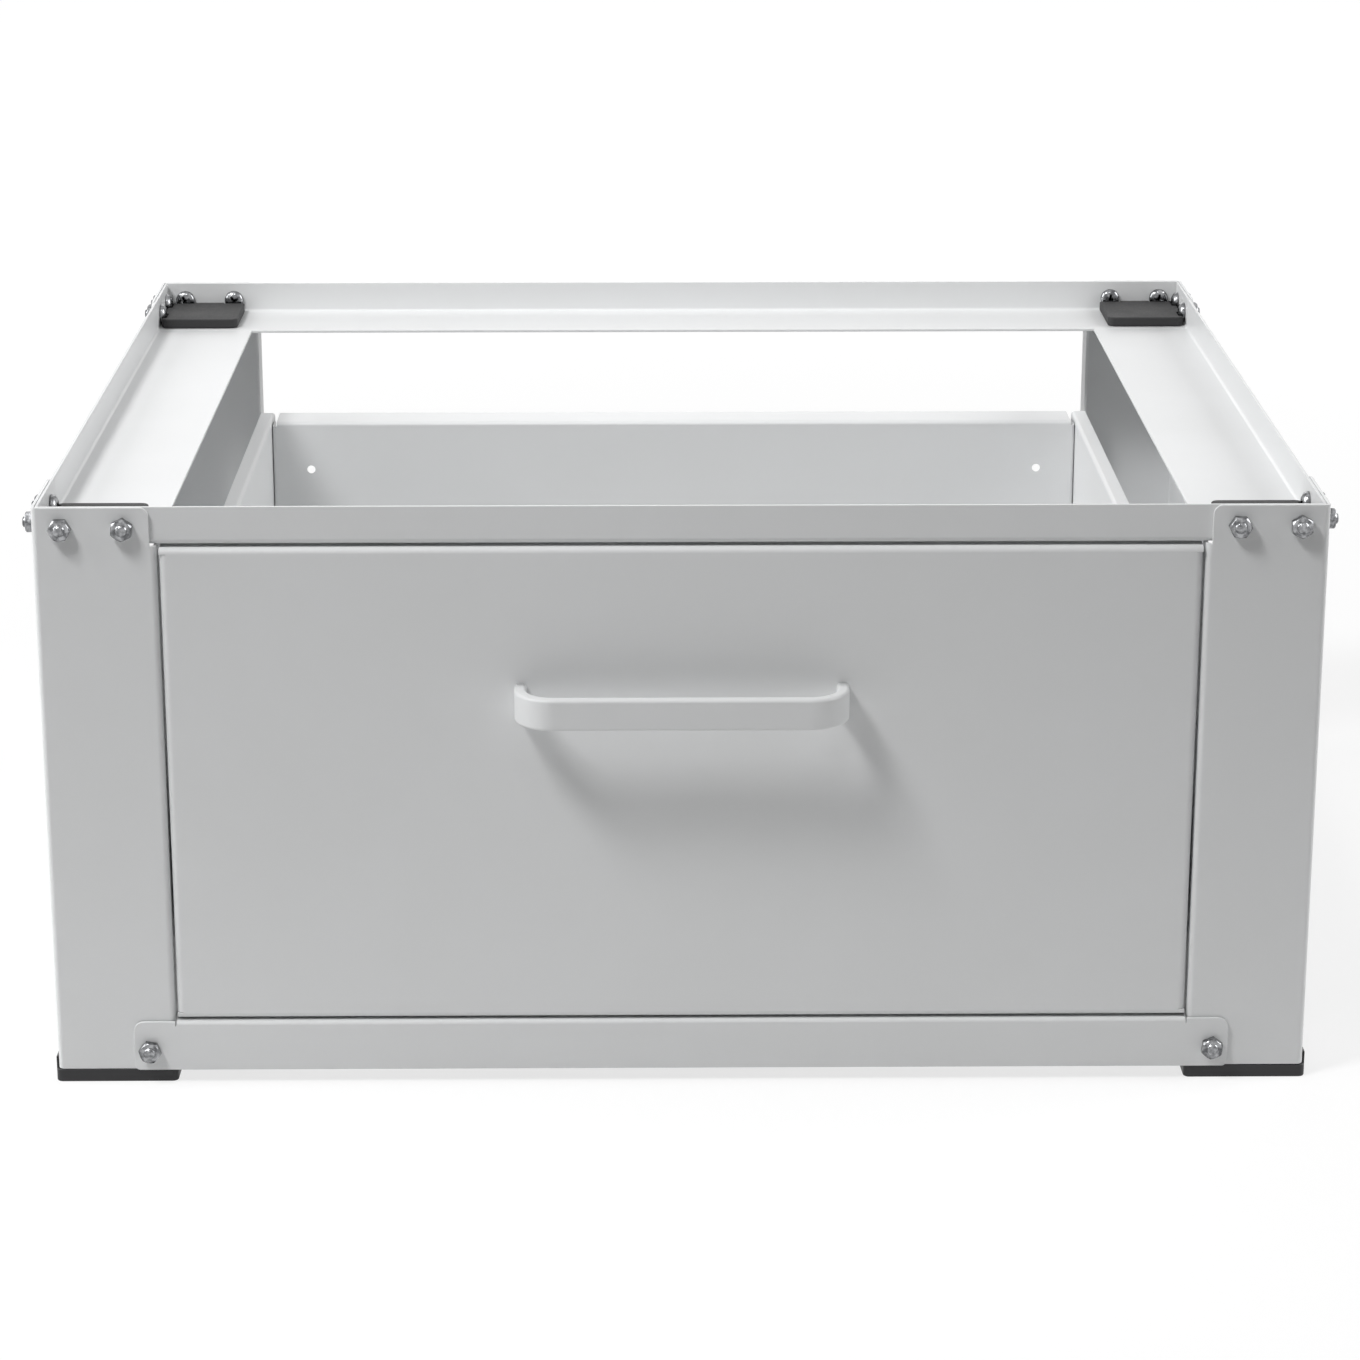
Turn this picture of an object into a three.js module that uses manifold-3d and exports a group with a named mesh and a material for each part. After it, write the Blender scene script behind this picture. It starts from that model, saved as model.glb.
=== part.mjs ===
// Washer pedestal with one wide drawer, in folded and powder-coated sheet steel.
// Millimetres, +Z up. The drawer opens towards -Y and left is -X.
// The origin is on the floor, below the middle of the whole pedestal's box.

import * as THREE from 'three';
import { mergeVertices } from 'three/addons/utils/BufferGeometryUtils.js';
import Module from 'manifold-3d';

const wasm = await Module();
wasm.setup();

// ---------------------------------------------------------------- driving dimensions

// Frame, measured over its posts and feet
const frameWidth = 630;
const frameDepth = 545;
const frameHeight = 300;

// Sheet steel
const frameSheet = 1.5;
const frameFold = 1.5;          // inside radius
const seat = 0.3;               // gap kept between two pieces that touch
const holePlay = 0.3;           // radial play of a fastener in its hole

// Corner posts
const postFlange = 60;
const postReturn = 22;
const postCorner = 4.5;

// Moulded feet
const footPlate = 6.7;
const footWall = 1;
const footWallHeight = 6;
const footRib = 2.5;
const footRibHeight = 9;
const footCorner = 3;

// Tray that the washer stands in, and its rubber pads
const trayLip = 19;
const padWidth = 46;
const padDepth = 50;
const padThickness = 5.5;
const padCorner = 4;

// Tie rails across the foot of the frame
const tieHeight = 26;
const tieOverlap = 21;
const tieFlange = 15;
const tieFold = 0.5;            // inside radius
const tieTopCorner = 5;
const tieBottomCorner = 2.5;
const tieBoltInset = 8;
const tieBoltRise = 10.5;

// Frame bolts: domed head inside, hexagon nut outside
const frameBolt = { radius: 3, head: 5.8, headHeight: 3.5, flats: 10, nut: 4, tip: 1.6 };
const boltInset = 14;
const boltPitch = 30;
const boltClear = 1.2;          // from the tray's shelf to the edge of a head

// Telescopic slides: three members and two rows of balls on each side
const slideLength = 450;
const slideThickness = 12.7;
const slideHeight = 45.5;
const slideRise = 63;           // the slides' middle over the drawer's floor
const slideSetback = 16;        // from the frame's front face
const slideTail = 23;           // from the drawer's back wall to the slides' back end
const slideSheet = 1.2;
const slideLip = 4;
const slideLipSetback = 3.1;    // from the drawer's side to the outer member's lip
const middleSheet = 1;
const middleLip = 3.5;
const middleSetback = 1.7;      // from the drawer's side to the middle member's lip
const ballDiameter = 3.2;
const ballPlay = 0.15;
const cageSheet = 0.6;
const cagePlay = 0.35;
const cageLength = 190;
const ballsPerRow = 5;
const slideScrewInset = 40;
const slideScrew = { radius: 2, head: 3.6, headHeight: 2, flats: 7, nut: 3.2, tip: 1 };

// Slide carriers between the front and back posts
const carrierHeight = 66;
const carrierFlange = 12;
const carrierTab = 15;
const carrierGap = 2;           // from a post's return to the step behind it
const carrierFlangeSetback = 12;
const rivet = { radius: 2, head: 4, headHeight: 1.2 };
const carrierRivetInset = 17.5;
const carrierRivetRise = 27.5;    // above and below the slides' middle

// Drawer
const drawerSheet = 1;
const drawerFold = 1.2;
const drawerFloorRise = 8;      // over the tie rails
const drawerTopDrop = 45.5;     // under the tray
const sideRim = 8.5;
const backRim = 25;
const backFlange = 14;
const floorFlange = 14;
const frontTab = 14;
const backRivetRise = 17;       // the lower one, over the floor
const backRivetDrop = 40;       // the upper one, under the rim
const hangHole = 2.4;           // radius of the two holes that the back hangs by to be painted
const hangHoleInset = 23;       // from the drawer's sides
const hangHoleDrop = 29;        // under the rim
const floorRivets = 4;

// Drawer front
const frontSheet = 1.2;
const frontFold = 2;
const frontReturn = 12;
const frontSlit = 0.3;          // between two folds that meet at a corner
const frontSideGap = 1.2;
const frontTopGap = 1.5;
const frontBottomGap = 1.1;

// Handle
const handleLength = 164;
const handleReach = 28;
const handleHeight = 16;
const handleThickness = 6;
const handleCorner = 20;
const handleEdge = 1.5;
const handleDrop = 77;          // its middle, under the drawer front's top edge
const handleScrewDepth = 10;

// Faces on a curve
const foldSteps = 3;
const handleSteps = 6;
const boltSides = 8;
const rivetSides = 8;
const holeSides = 8;

// ---------------------------------------------------------------- materials

function finish(color, roughness, metalness) {
  return () => new THREE.MeshStandardMaterial({ color, roughness, metalness });
}
const paint = finish(0xe2e3e3, 0.45, 0.0);
const zinc = finish(0xb9bcc0, 0.3, 1.0);
const blackZinc = finish(0x3a3b3d, 0.4, 0.9);
const chrome = finish(0xd4d6d8, 0.15, 1.0);
const rubber = finish(0x2d2d2e, 0.85, 0.0);
const plastic = finish(0x242426, 0.55, 0.0);

// ---------------------------------------------------------------- solids and outlines

const up = new THREE.Vector3(0, 1, 0);

// A closed geometry as a solid that can be joined and cut
function solid(geometry) {
  geometry.deleteAttribute('normal');
  geometry.deleteAttribute('uv');
  const merged = mergeVertices(geometry, 1e-4);
  const corners = merged.index.array;
  const kept = [];
  for (let i = 0; i < corners.length; i += 3) {
    const [a, b, c] = [corners[i], corners[i + 1], corners[i + 2]];
    if (a !== b && b !== c && c !== a) kept.push(a, b, c);
  }
  return new wasm.Manifold(new wasm.Mesh({
    numProp: 3,
    vertProperties: Float32Array.from(merged.attributes.position.array),
    triVerts: Uint32Array.from(kept),
  }));
}

function join(first, ...others) {
  return others.reduce((sum, other) => sum.add(other), first);
}

function cut(body, ...tools) {
  return tools.reduce((rest, tool) => rest.subtract(tool), body);
}

function extruded(shape, depth) {
  return new THREE.ExtrudeGeometry(shape, { depth, bevelEnabled: false, curveSegments: foldSteps });
}

// An outline in (y, z) pushed along x
function alongX(shape, from, to) {
  const axes = new THREE.Matrix4().makeBasis(
    new THREE.Vector3(0, 1, 0), new THREE.Vector3(0, 0, 1), new THREE.Vector3(1, 0, 0));
  const geometry = extruded(shape, Math.abs(to - from)).applyMatrix4(axes);
  return solid(geometry.translate(Math.min(from, to), 0, 0));
}

// An outline in (x, z) pushed along y
function alongY(shape, from, to) {
  const geometry = extruded(shape, Math.abs(to - from)).rotateX(Math.PI / 2);
  return solid(geometry.translate(0, Math.max(from, to), 0));
}

// An outline in (x, y) pushed along z
function alongZ(shape, from, to) {
  return solid(extruded(shape, Math.abs(to - from)).translate(0, 0, Math.min(from, to)));
}

function outline(points) {
  return new THREE.Shape(points.map(([a, b]) => new THREE.Vector2(a, b)));
}

function rectangle(a0, b0, a1, b1) {
  return outline([[a0, b0], [a1, b0], [a1, b1], [a0, b1]]);
}

function block(x0, y0, z0, x1, y1, z1) {
  return alongZ(rectangle(x0, y0, x1, y1), z0, z1);
}

// A strip of sheet seen edge on: the middle of the sheet follows `corners` and turns each
// of them on a fold with the inside radius `fold`.
function foldedStrip(corners, sheet, fold, steps = foldSteps) {
  const bend = fold + sheet / 2;
  const spots = corners.map(([a, b]) => new THREE.Vector2(a, b));
  const oneSide = [];
  const otherSide = [];
  const leftOf = (direction) => new THREE.Vector2(-direction.y, direction.x);
  const heading = (i) => spots[i + 1].clone().sub(spots[i]).normalize();
  const place = (spot, normal) => {
    oneSide.push(spot.clone().addScaledVector(normal, sheet / 2));
    otherSide.push(spot.clone().addScaledVector(normal, -sheet / 2));
  };
  place(spots[0], leftOf(heading(0)));
  for (let i = 1; i < spots.length - 1; i += 1) {
    const before = heading(i - 1);
    const after = heading(i);
    const turn = Math.atan2(before.cross(after), before.dot(after));
    const side = Math.sign(turn);
    const start = spots[i].clone().addScaledVector(before, -bend * Math.tan(Math.abs(turn) / 2));
    const centre = start.clone().addScaledVector(leftOf(before), side * bend);
    for (let step = 0; step <= steps; step += 1) {
      const normal = leftOf(before).rotateAround(new THREE.Vector2(), (turn * step) / steps);
      place(centre.clone().addScaledVector(normal, -side * bend), normal);
    }
  }
  place(spots.at(-1), leftOf(heading(spots.length - 2)));
  return new THREE.Shape([...oneSide, ...otherSide.reverse()]);
}

// A rectangle with its own radius at each corner: low-low, high-low, high-high, low-high
function roundedPlate(a0, b0, a1, b1, [lowLow, highLow, highHigh, lowHigh]) {
  const quarter = Math.PI / 2;
  const shape = new THREE.Shape();
  shape.moveTo(a0 + lowLow, b0);
  shape.lineTo(a1 - highLow, b0);
  shape.absarc(a1 - highLow, b0 + highLow, highLow, -quarter, 0, false);
  shape.lineTo(a1, b1 - highHigh);
  shape.absarc(a1 - highHigh, b1 - highHigh, highHigh, 0, quarter, false);
  shape.lineTo(a0 + lowHigh, b1);
  shape.absarc(a0 + lowHigh, b1 - lowHigh, lowHigh, quarter, 2 * quarter, false);
  shape.lineTo(a0, b0 + lowLow);
  shape.absarc(a0 + lowLow, b0 + lowLow, lowLow, 2 * quarter, 3 * quarter, false);
  return shape;
}

// What a rounded corner takes from a square one at (a, b). `intoA` and `intoB` are the
// signs that point into the plate.
function cornerWaste(a, b, intoA, intoB, radius) {
  const points = [[a - intoA, b - intoB], [a + intoA * radius, b - intoB]];
  for (let step = 0; step <= foldSteps; step += 1) {
    const angle = (Math.PI / 2) * (step / foldSteps);
    points.push([a + intoA * radius * (1 - Math.sin(angle)),
      b + intoB * radius * (1 - Math.cos(angle))]);
  }
  points.push([a - intoA, b + intoB * radius]);
  return outline(points);
}

// Turns what stands on +Y to point along `direction`, and sets it down at `spot`
function aimed(geometry, spot, direction) {
  const turn = new THREE.Quaternion().setFromUnitVectors(up, new THREE.Vector3(...direction));
  return geometry.applyQuaternion(turn).translate(...spot);
}

// A tool for a round hole along an axis; its flats stand off by `radius`
function rod(from, to, radius) {
  const run = new THREE.Vector3(...to).sub(new THREE.Vector3(...from));
  const length = run.length();
  const tip = radius / Math.cos(Math.PI / holeSides);
  const geometry = new THREE.CylinderGeometry(tip, tip, length, holeSides);
  geometry.translate(0, length / 2, 0);
  return solid(aimed(geometry, from, run.normalize().toArray()));
}

// A turned piece: `profile` holds [radius, height] from its foot to its top
function turned(profile, spot, direction, roundSides = boltSides) {
  const points = profile.map(([radius, height]) => new THREE.Vector2(radius, height));
  return solid(aimed(new THREE.LatheGeometry(points, roundSides), spot, direction));
}

function dome(radius, base, height) {
  const shares = [0, 0.6];
  return [...shares.map((share) => [radius * Math.sqrt(1 - share * share), base + height * share]),
    [0, base + height]];
}

// A bolt with its nut: the head stands on `spot`, and the shank runs back through `grip`
function boltWithNut(size, grip, spot = [0, 0, 0], direction = [0, 1, 0]) {
  const foot = -(grip + size.nut + size.tip);
  const bolt = turned([[0, foot], [size.radius, foot], [size.radius, 0],
    ...dome(size.head, 0, size.headHeight)], spot, direction);
  const acrossCorners = size.flats / Math.sqrt(3);
  const hexagon = new THREE.CylinderGeometry(acrossCorners, acrossCorners, size.nut, 6);
  hexagon.translate(0, -grip - size.nut / 2, 0);
  return join(bolt, solid(aimed(hexagon, spot, direction)));
}

// A rivet rooted in its own sheet at `spot`, with a head on the far side of `grip`
function rivetThrough(grip, rootSheet, spot, direction) {
  const root = -rootSheet / 2;
  return turned([[0, root], [rivet.radius, root], [rivet.radius, grip],
    ...dome(rivet.head, grip, rivet.headHeight)], spot, direction, rivetSides);
}

// ---------------------------------------------------------------- the assembly

const pedestal = new THREE.Group();
const frame = new THREE.Group();
const drawer = new THREE.Group();
pedestal.add(frame, drawer);

const sides = { left: -1, right: 1 };
const ends = { front: -1, back: 1 };
const corners = Object.entries(ends).flatMap(([endName, end]) => Object.entries(sides)
  .map(([sideName, side]) => ({ name: `${endName}_${sideName}`, side, end })));

function geometryOf(body) {
  const drawn = body.getMesh();
  const geometry = new THREE.BufferGeometry();
  geometry.setAttribute('position', new THREE.BufferAttribute(drawn.vertProperties, 3));
  geometry.setIndex(new THREE.BufferAttribute(drawn.triVerts, 1));
  return geometry;
}

function add(group, name, body, material) {
  const mesh = new THREE.Mesh(geometryOf(body), material());
  mesh.name = name;
  group.add(mesh);
  return mesh;
}

const outerSide = frameWidth / 2;
const outerEnd = frameDepth / 2;
const outerFront = -outerEnd;
const openingHalf = outerSide - postFlange;          // half the gap between two posts
const trayUnderside = frameHeight - trayLip;
const shelfTop = trayUnderside + frameSheet;
const boltGrip = 2 * frameSheet + 3 * seat;          // two sheets, and a seat at each face
const postFoot = footPlate + seat;
const tieTop = postFoot + tieHeight;
const drawerFloor = tieTop + drawerFloorRise;        // underside of the drawer's floor
const drawerTop = trayUnderside - drawerTopDrop;
const slideMiddle = drawerFloor + slideRise;

// ---------------------------------------------------------------- corner posts

// The two bolts on each outer face of a corner
function trayBoltSpots({ side, end }) {
  const rise = shelfTop + boltClear + frameBolt.head;
  return [boltInset, boltInset + boltPitch].flatMap((inset) => [
    { at: [side * (outerSide - inset), end * outerEnd, rise], out: [0, end, 0] },
    { at: [side * outerSide, end * (outerEnd - inset), rise], out: [side, 0, 0] }]);
}

function tieBoltSpot({ side, end }) {
  return { at: [side * (openingHalf + tieOverlap - tieBoltInset), end * outerEnd,
    postFoot + tieBoltRise], out: [0, end, 0] };
}

function carrierRivetSpots({ side, end }) {
  return [-carrierRivetRise, carrierRivetRise].map((rise) => ({
    at: [side * (openingHalf + frameSheet + seat), end * (outerEnd - carrierRivetInset),
      slideMiddle + rise],
    out: [side, 0, 0] }));
}

// A spot moved against the way that its face looks
function inwards({ at, out }, distance) {
  return at.map((value, axis) => value - out[axis] * distance);
}

function boltHole(spot) {
  return rod(inwards(spot, -2 * frameSheet), inwards(spot, 3 * frameSheet + seat),
    frameBolt.radius + holePlay);
}

// A post is a J in plan: a flange to the side, one to the front or back, and a return
// towards the drawer that stops under the tray.
for (const corner of corners) {
  const { name, side, end } = corner;
  const half = frameSheet / 2;
  const [x, y] = [side * (outerSide - half), end * (outerEnd - half)];
  const sideEdge = end * (outerEnd - postFlange);
  const endEdge = side * (openingHalf + frameSheet + frameFold);
  const returnX = side * (openingHalf + half);
  const notch = trayUnderside - seat;
  const below = foldedStrip([[x, sideEdge], [x, y], [returnX, y],
    [returnX, end * (outerEnd - postReturn)]], frameSheet, frameFold);
  const above = foldedStrip([[x, sideEdge], [x, y], [endEdge, y]], frameSheet, frameFold);
  const post = join(alongZ(below, postFoot, notch), alongZ(above, notch, frameHeight));
  const wastes = [
    alongY(cornerWaste(endEdge, frameHeight, side, -1, postCorner),
      end * (outerEnd + 1), end * (outerEnd - 2 * frameSheet)),
    alongX(cornerWaste(sideEdge, frameHeight, end, -1, postCorner),
      side * (outerSide + 1), side * (outerSide - 2 * frameSheet))];
  const holes = [...trayBoltSpots(corner), tieBoltSpot(corner)].map(boltHole);
  const rivetHoles = carrierRivetSpots(corner).map((spot) => rod(inwards(spot, -1),
    inwards(spot, 2 * (frameSheet + seat)), rivet.radius + holePlay));
  add(frame, `post_${name}`, cut(post, ...wastes, ...holes, ...rivetHoles), paint);
}

// ---------------------------------------------------------------- feet

// A moulded cap under each post: a plate, a low wall over the side flange, and a rib
// inside both flanges that keeps it in place.
for (const corner of corners) {
  const { name, side, end } = corner;
  const outerX = side * (outerSide + seat + footWall);
  const innerX = side * (openingHalf - seat);
  const outerY = end * outerEnd;
  const innerY = end * (outerEnd - postFlange - seat);
  const radii = [[-1, -1], [1, -1], [1, 1], [-1, 1]].map(([a, b]) => (
    a === side && b === end ? frameFold + frameSheet : footCorner));
  const plate = alongZ(roundedPlate(Math.min(outerX, innerX), Math.min(outerY, innerY),
    Math.max(outerX, innerX), Math.max(outerY, innerY), radii), 0, footPlate);
  const wall = block(side * (outerSide + seat), outerY - end * (frameFold + frameSheet), 0,
    outerX, innerY + end * footCorner, footPlate + footWallHeight);
  const ribX = side * (outerSide - frameSheet - seat - footRib / 2);
  const ribY = end * (outerEnd - frameSheet - seat - footRib / 2);
  const rib = alongZ(foldedStrip([[ribX, innerY + end * footCorner], [ribX, ribY],
    [side * (openingHalf + frameSheet + frameFold + seat), ribY]], footRib, frameFold),
  footPlate / 2, footPlate + footRibHeight);
  const spot = tieBoltSpot(corner);
  const headRoom = rod(inwards(spot, 0), inwards(spot, frameSheet + 3 * footRib),
    frameBolt.head + holePlay);
  add(frame, `foot_${name}`, join(plate, wall, cut(rib, headRoom)), plastic);
}

// ---------------------------------------------------------------- washer tray

const trayX = outerSide - frameSheet - seat;
const trayY = outerEnd - frameSheet - seat;
const trayShelf = postFlange - frameSheet - seat;

// An L rail seen end on, from the top of its lip to the free edge of its shelf. `outer`
// is the lip's outer face, and `into` the sign that points to the middle of the tray.
function railSection(outer, into) {
  const half = frameSheet / 2;
  return foldedStrip([[outer + into * half, frameHeight],
    [outer + into * half, trayUnderside + half],
    [outer + into * trayShelf, trayUnderside + half]], frameSheet, frameFold);
}

// The front and back rails run over the full width and turn along both sides as a short lip
for (const [endName, end] of Object.entries(ends)) {
  const long = alongX(railSection(end * trayY, -end), -trayX, trayX);
  const short = Object.values(sides).map((side) => alongY(railSection(side * trayX, -side),
    end * trayY, end * (trayY - trayShelf)));
  const wastes = Object.values(sides).map((side) => alongZ(
    cornerWaste(side * trayX, end * trayY, -side, -end, frameSheet + seat),
    trayUnderside - 1, frameHeight + 1));
  const holes = corners.filter((corner) => corner.end === end)
    .flatMap((corner) => trayBoltSpots(corner).map(boltHole));
  add(frame, `tray_rail_${endName}`, cut(join(long, ...short), ...wastes, ...holes), paint);
}

// The side rails are butted between them
for (const [sideName, side] of Object.entries(sides)) {
  const reach = trayY - trayShelf - seat;
  add(frame, `tray_rail_${sideName}`, alongY(railSection(side * trayX, -side), -reach, reach),
    paint);
}

// Rubber pads in the corners, cut away round the bolt heads
for (const corner of corners) {
  const { name, side, end } = corner;
  const outerX = side * (trayX - frameSheet - frameFold);
  const outerY = end * (trayY - frameSheet - frameFold);
  const innerX = outerX - side * padWidth;
  const innerY = outerY - end * padDepth;
  const base = shelfTop + seat;
  const pad = alongZ(roundedPlate(Math.min(outerX, innerX), Math.min(outerY, innerY),
    Math.max(outerX, innerX), Math.max(outerY, innerY), Array(4).fill(padCorner)),
  base, base + padThickness);
  const headRooms = trayBoltSpots(corner).map((spot) => rod(inwards(spot, 0),
    inwards(spot, boltGrip + frameBolt.headHeight + holePlay), frameBolt.head + 2 * holePlay));
  add(frame, `corner_pad_${name}`, cut(pad, ...headRooms), rubber);
}

// ---------------------------------------------------------------- tie rails

const tieFace = outerEnd + seat + frameSheet;        // outer face of a tie rail

// A flat strip in front of the posts, with a stiffening flange folded back between them
for (const [endName, end] of Object.entries(ends)) {
  const half = frameSheet / 2;
  const reach = openingHalf + tieOverlap;
  const flangeReach = openingHalf - 2 * seat;
  const face = alongY(roundedPlate(-reach, postFoot, reach, tieTop,
    [tieBottomCorner, tieBottomCorner, tieTopCorner, tieTopCorner]),
  end * tieFace, end * (tieFace - frameSheet));
  const foldWaste = block(-flangeReach, end * (tieFace + 1), tieTop - frameSheet - tieFold,
    flangeReach, end * (tieFace - frameSheet - 1), tieTop + 1);
  const fold = alongX(foldedStrip([
    [end * (tieFace - half), tieTop - 2 * (frameSheet + tieFold)],
    [end * (tieFace - half), tieTop - half],
    [end * (tieFace - tieFlange), tieTop - half]], frameSheet, tieFold),
  -flangeReach, flangeReach);
  const holes = corners.filter((corner) => corner.end === end)
    .map((corner) => boltHole(tieBoltSpot(corner)));
  add(frame, `tie_rail_${endName}`, cut(join(cut(face, foldWaste), fold), ...holes), paint);
}

// ---------------------------------------------------------------- frame bolts

// Every bolt grips two sheets. `proud` is how far the outer sheet stands past the posts.
function addFrameBolt(name, spot, proud) {
  const mesh = add(frame, name, boltWithNut(frameBolt, boltGrip), chrome);
  mesh.position.set(...inwards(spot, boltGrip - seat - proud));
  mesh.quaternion.setFromUnitVectors(up, new THREE.Vector3(...spot.out).negate());
}

for (const corner of corners) {
  const places = ['outer_end', 'outer_side', 'inner_end', 'inner_side'];
  trayBoltSpots(corner).forEach((spot, i) => {
    addFrameBolt(`tray_bolt_${corner.name}_${places[i]}`, spot, 0);
  });
  addFrameBolt(`tie_bolt_${corner.name}`, tieBoltSpot(corner), seat + frameSheet);
}

// ---------------------------------------------------------------- slide carriers

const slideFace = openingHalf - seat;                // what the slides are fixed on
const slideFront = outerFront + slideSetback;
const slideBack = slideFront + slideLength;
const slideScrewSpots = [slideFront + slideScrewInset, (slideFront + slideBack) / 2,
  slideBack - slideScrewInset];

// A pressed channel, level with the posts' returns along its length and stepped out
// behind them at both ends, where it is riveted
for (const [sideName, side] of Object.entries(sides)) {
  const half = frameSheet / 2;
  const inner = side * (openingHalf + half);
  const outer = side * (openingHalf + frameSheet + seat + half);
  const steppedOut = outerEnd - postReturn - carrierGap;
  const level = steppedOut - 2 * (frameSheet + seat);
  const tip = steppedOut + carrierTab;
  const low = slideMiddle - carrierHeight / 2;
  const high = slideMiddle + carrierHeight / 2;
  const flangeTip = side * (openingHalf + carrierFlange);
  const flangeReach = level - carrierFlangeSetback;
  const strap = alongZ(foldedStrip([[outer, -tip], [outer, -steppedOut], [inner, -level],
    [inner, level], [outer, steppedOut], [outer, tip]], frameSheet, frameFold, 2), low, high);
  const channel = alongY(foldedStrip([[flangeTip, high - half], [inner, high - half],
    [inner, low + half], [flangeTip, low + half]], frameSheet, frameFold),
  -flangeReach, flangeReach);
  const foldRoom = frameSheet + frameFold;
  const wastes = [[high - foldRoom, high + 1], [low - 1, low + foldRoom]].map(([z0, z1]) => block(
    side * (openingHalf - 1), -flangeReach, z0, side * (openingHalf + foldRoom), flangeReach, z1));
  const rivets = corners.filter((corner) => corner.side === side)
    .flatMap((corner) => carrierRivetSpots(corner).map(({ at }) => rivetThrough(
      frameSheet + 2 * seat, frameSheet, at, [-side, 0, 0])));
  const holes = slideScrewSpots.map((y) => rod([side * (openingHalf - 1), y, slideMiddle],
    [side * (openingHalf + frameSheet + 1), y, slideMiddle], rivet.radius + holePlay));
  add(frame, `slide_carrier_${sideName}`,
    cut(join(cut(strap, ...wastes), channel, ...rivets), ...holes), zinc);
}

// ---------------------------------------------------------------- telescopic slides

// Distances across a slide run from the face it is fixed on, 0, to the drawer's side;
// heights run from its middle. Each row of balls runs between the inside of one
// member's fold and the flange of the next.
const raceway = ballDiameter / 2 + ballPlay;
const outerBallRise = slideHeight / 2 - slideSheet - raceway;
const outerEdge = slideThickness - slideLipSetback;
const outerBallAcross = outerEdge - slideSheet - raceway;
const outerCageWeb = slideSheet + cagePlay + cageSheet / 2;
const middleTop = outerBallRise - raceway;
const middleWeb = outerCageWeb + cageSheet / 2 + cagePlay + middleSheet / 2;
const middleEdge = slideThickness - middleSetback;
const innerBallRise = middleTop - middleSheet - raceway;
const innerBallAcross = middleEdge - middleSheet - raceway;
const innerCageWeb = middleWeb + middleSheet / 2 + cagePlay + cageSheet / 2;
const innerTop = innerBallRise - raceway;
const innerEdge = innerCageWeb + cageSheet / 2 + 3 * cagePlay;

// A member or a cage seen end on. `upper` lists its corners from the free edge to the
// web, and the lower half is the same upside down.
function slideSection(side, upper, sheet, fold) {
  const lower = [...upper].reverse().map(([across, rise]) => [across, -rise]);
  return foldedStrip([...upper, ...lower].map(([across, rise]) => [
    side * (slideFace - across), slideMiddle + rise]), sheet, fold);
}

// A cage strip with its balls held in both arms
function ballCage(side, web, across, rise) {
  const start = (slideFront + slideBack - cageLength) / 2;
  const arm = across + 0.8 * (ballDiameter / 2);
  const strip = alongY(slideSection(side, [[arm, rise], [web, rise]], cageSheet, cageSheet),
    start, start + cageLength);
  const balls = [];
  for (let i = 0; i < ballsPerRow; i += 1) {
    for (const level of [-rise, rise]) {
      const ball = new THREE.IcosahedronGeometry(ballDiameter / 2);
      balls.push(solid(ball.translate(side * (slideFace - across),
        start + (cageLength / ballsPerRow) * (i + 0.5), slideMiddle + level)));
    }
  }
  return join(strip, ...balls);
}

for (const [sideName, side] of Object.entries(sides)) {
  // Outer member, riveted to its carrier and flush inside
  const outerTop = slideHeight / 2 - slideSheet / 2;
  const lip = outerEdge - slideSheet / 2;
  const outerMember = alongY(slideSection(side, [[lip, slideHeight / 2 - slideLip],
    [lip, outerTop], [slideSheet / 2, outerTop]], slideSheet, raceway), slideFront, slideBack);
  const rivets = slideScrewSpots.map((y) => rivetThrough(frameSheet + 2 * seat, slideSheet,
    [side * slideFace, y, slideMiddle], [side, 0, 0]));
  add(frame, `slide_outer_${sideName}`, join(outerMember, ...rivets), blackZinc);

  // Middle member and the two ball cages
  const middleLipAcross = middleEdge - middleSheet / 2;
  const middleRise = middleTop - middleSheet / 2;
  add(drawer, `slide_middle_${sideName}`, alongY(slideSection(side, [
    [middleLipAcross, middleTop - middleLip], [middleLipAcross, middleRise],
    [middleWeb, middleRise]], middleSheet, middleSheet), slideFront, slideBack), blackZinc);
  add(drawer, `slide_cage_outer_${sideName}`,
    ballCage(side, outerCageWeb, outerBallAcross, outerBallRise), zinc);
  add(drawer, `slide_cage_inner_${sideName}`,
    ballCage(side, innerCageWeb, innerBallAcross, innerBallRise), zinc);

  // Inner member, with the screws and nuts that hold it on the drawer's side
  const innerRise = innerTop - slideSheet / 2;
  const innerMember = alongY(slideSection(side, [[innerEdge, innerRise],
    [slideThickness - slideSheet / 2, innerRise]], slideSheet, slideSheet), slideFront, slideBack);
  const screws = slideScrewSpots.map((y) => boltWithNut(slideScrew,
    slideSheet + drawerSheet + 2 * seat,
    [side * (slideFace - slideThickness + slideSheet), y, slideMiddle], [side, 0, 0]));
  add(drawer, `slide_inner_${sideName}`, join(innerMember, ...screws), blackZinc);
}

// ---------------------------------------------------------------- drawer box

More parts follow.
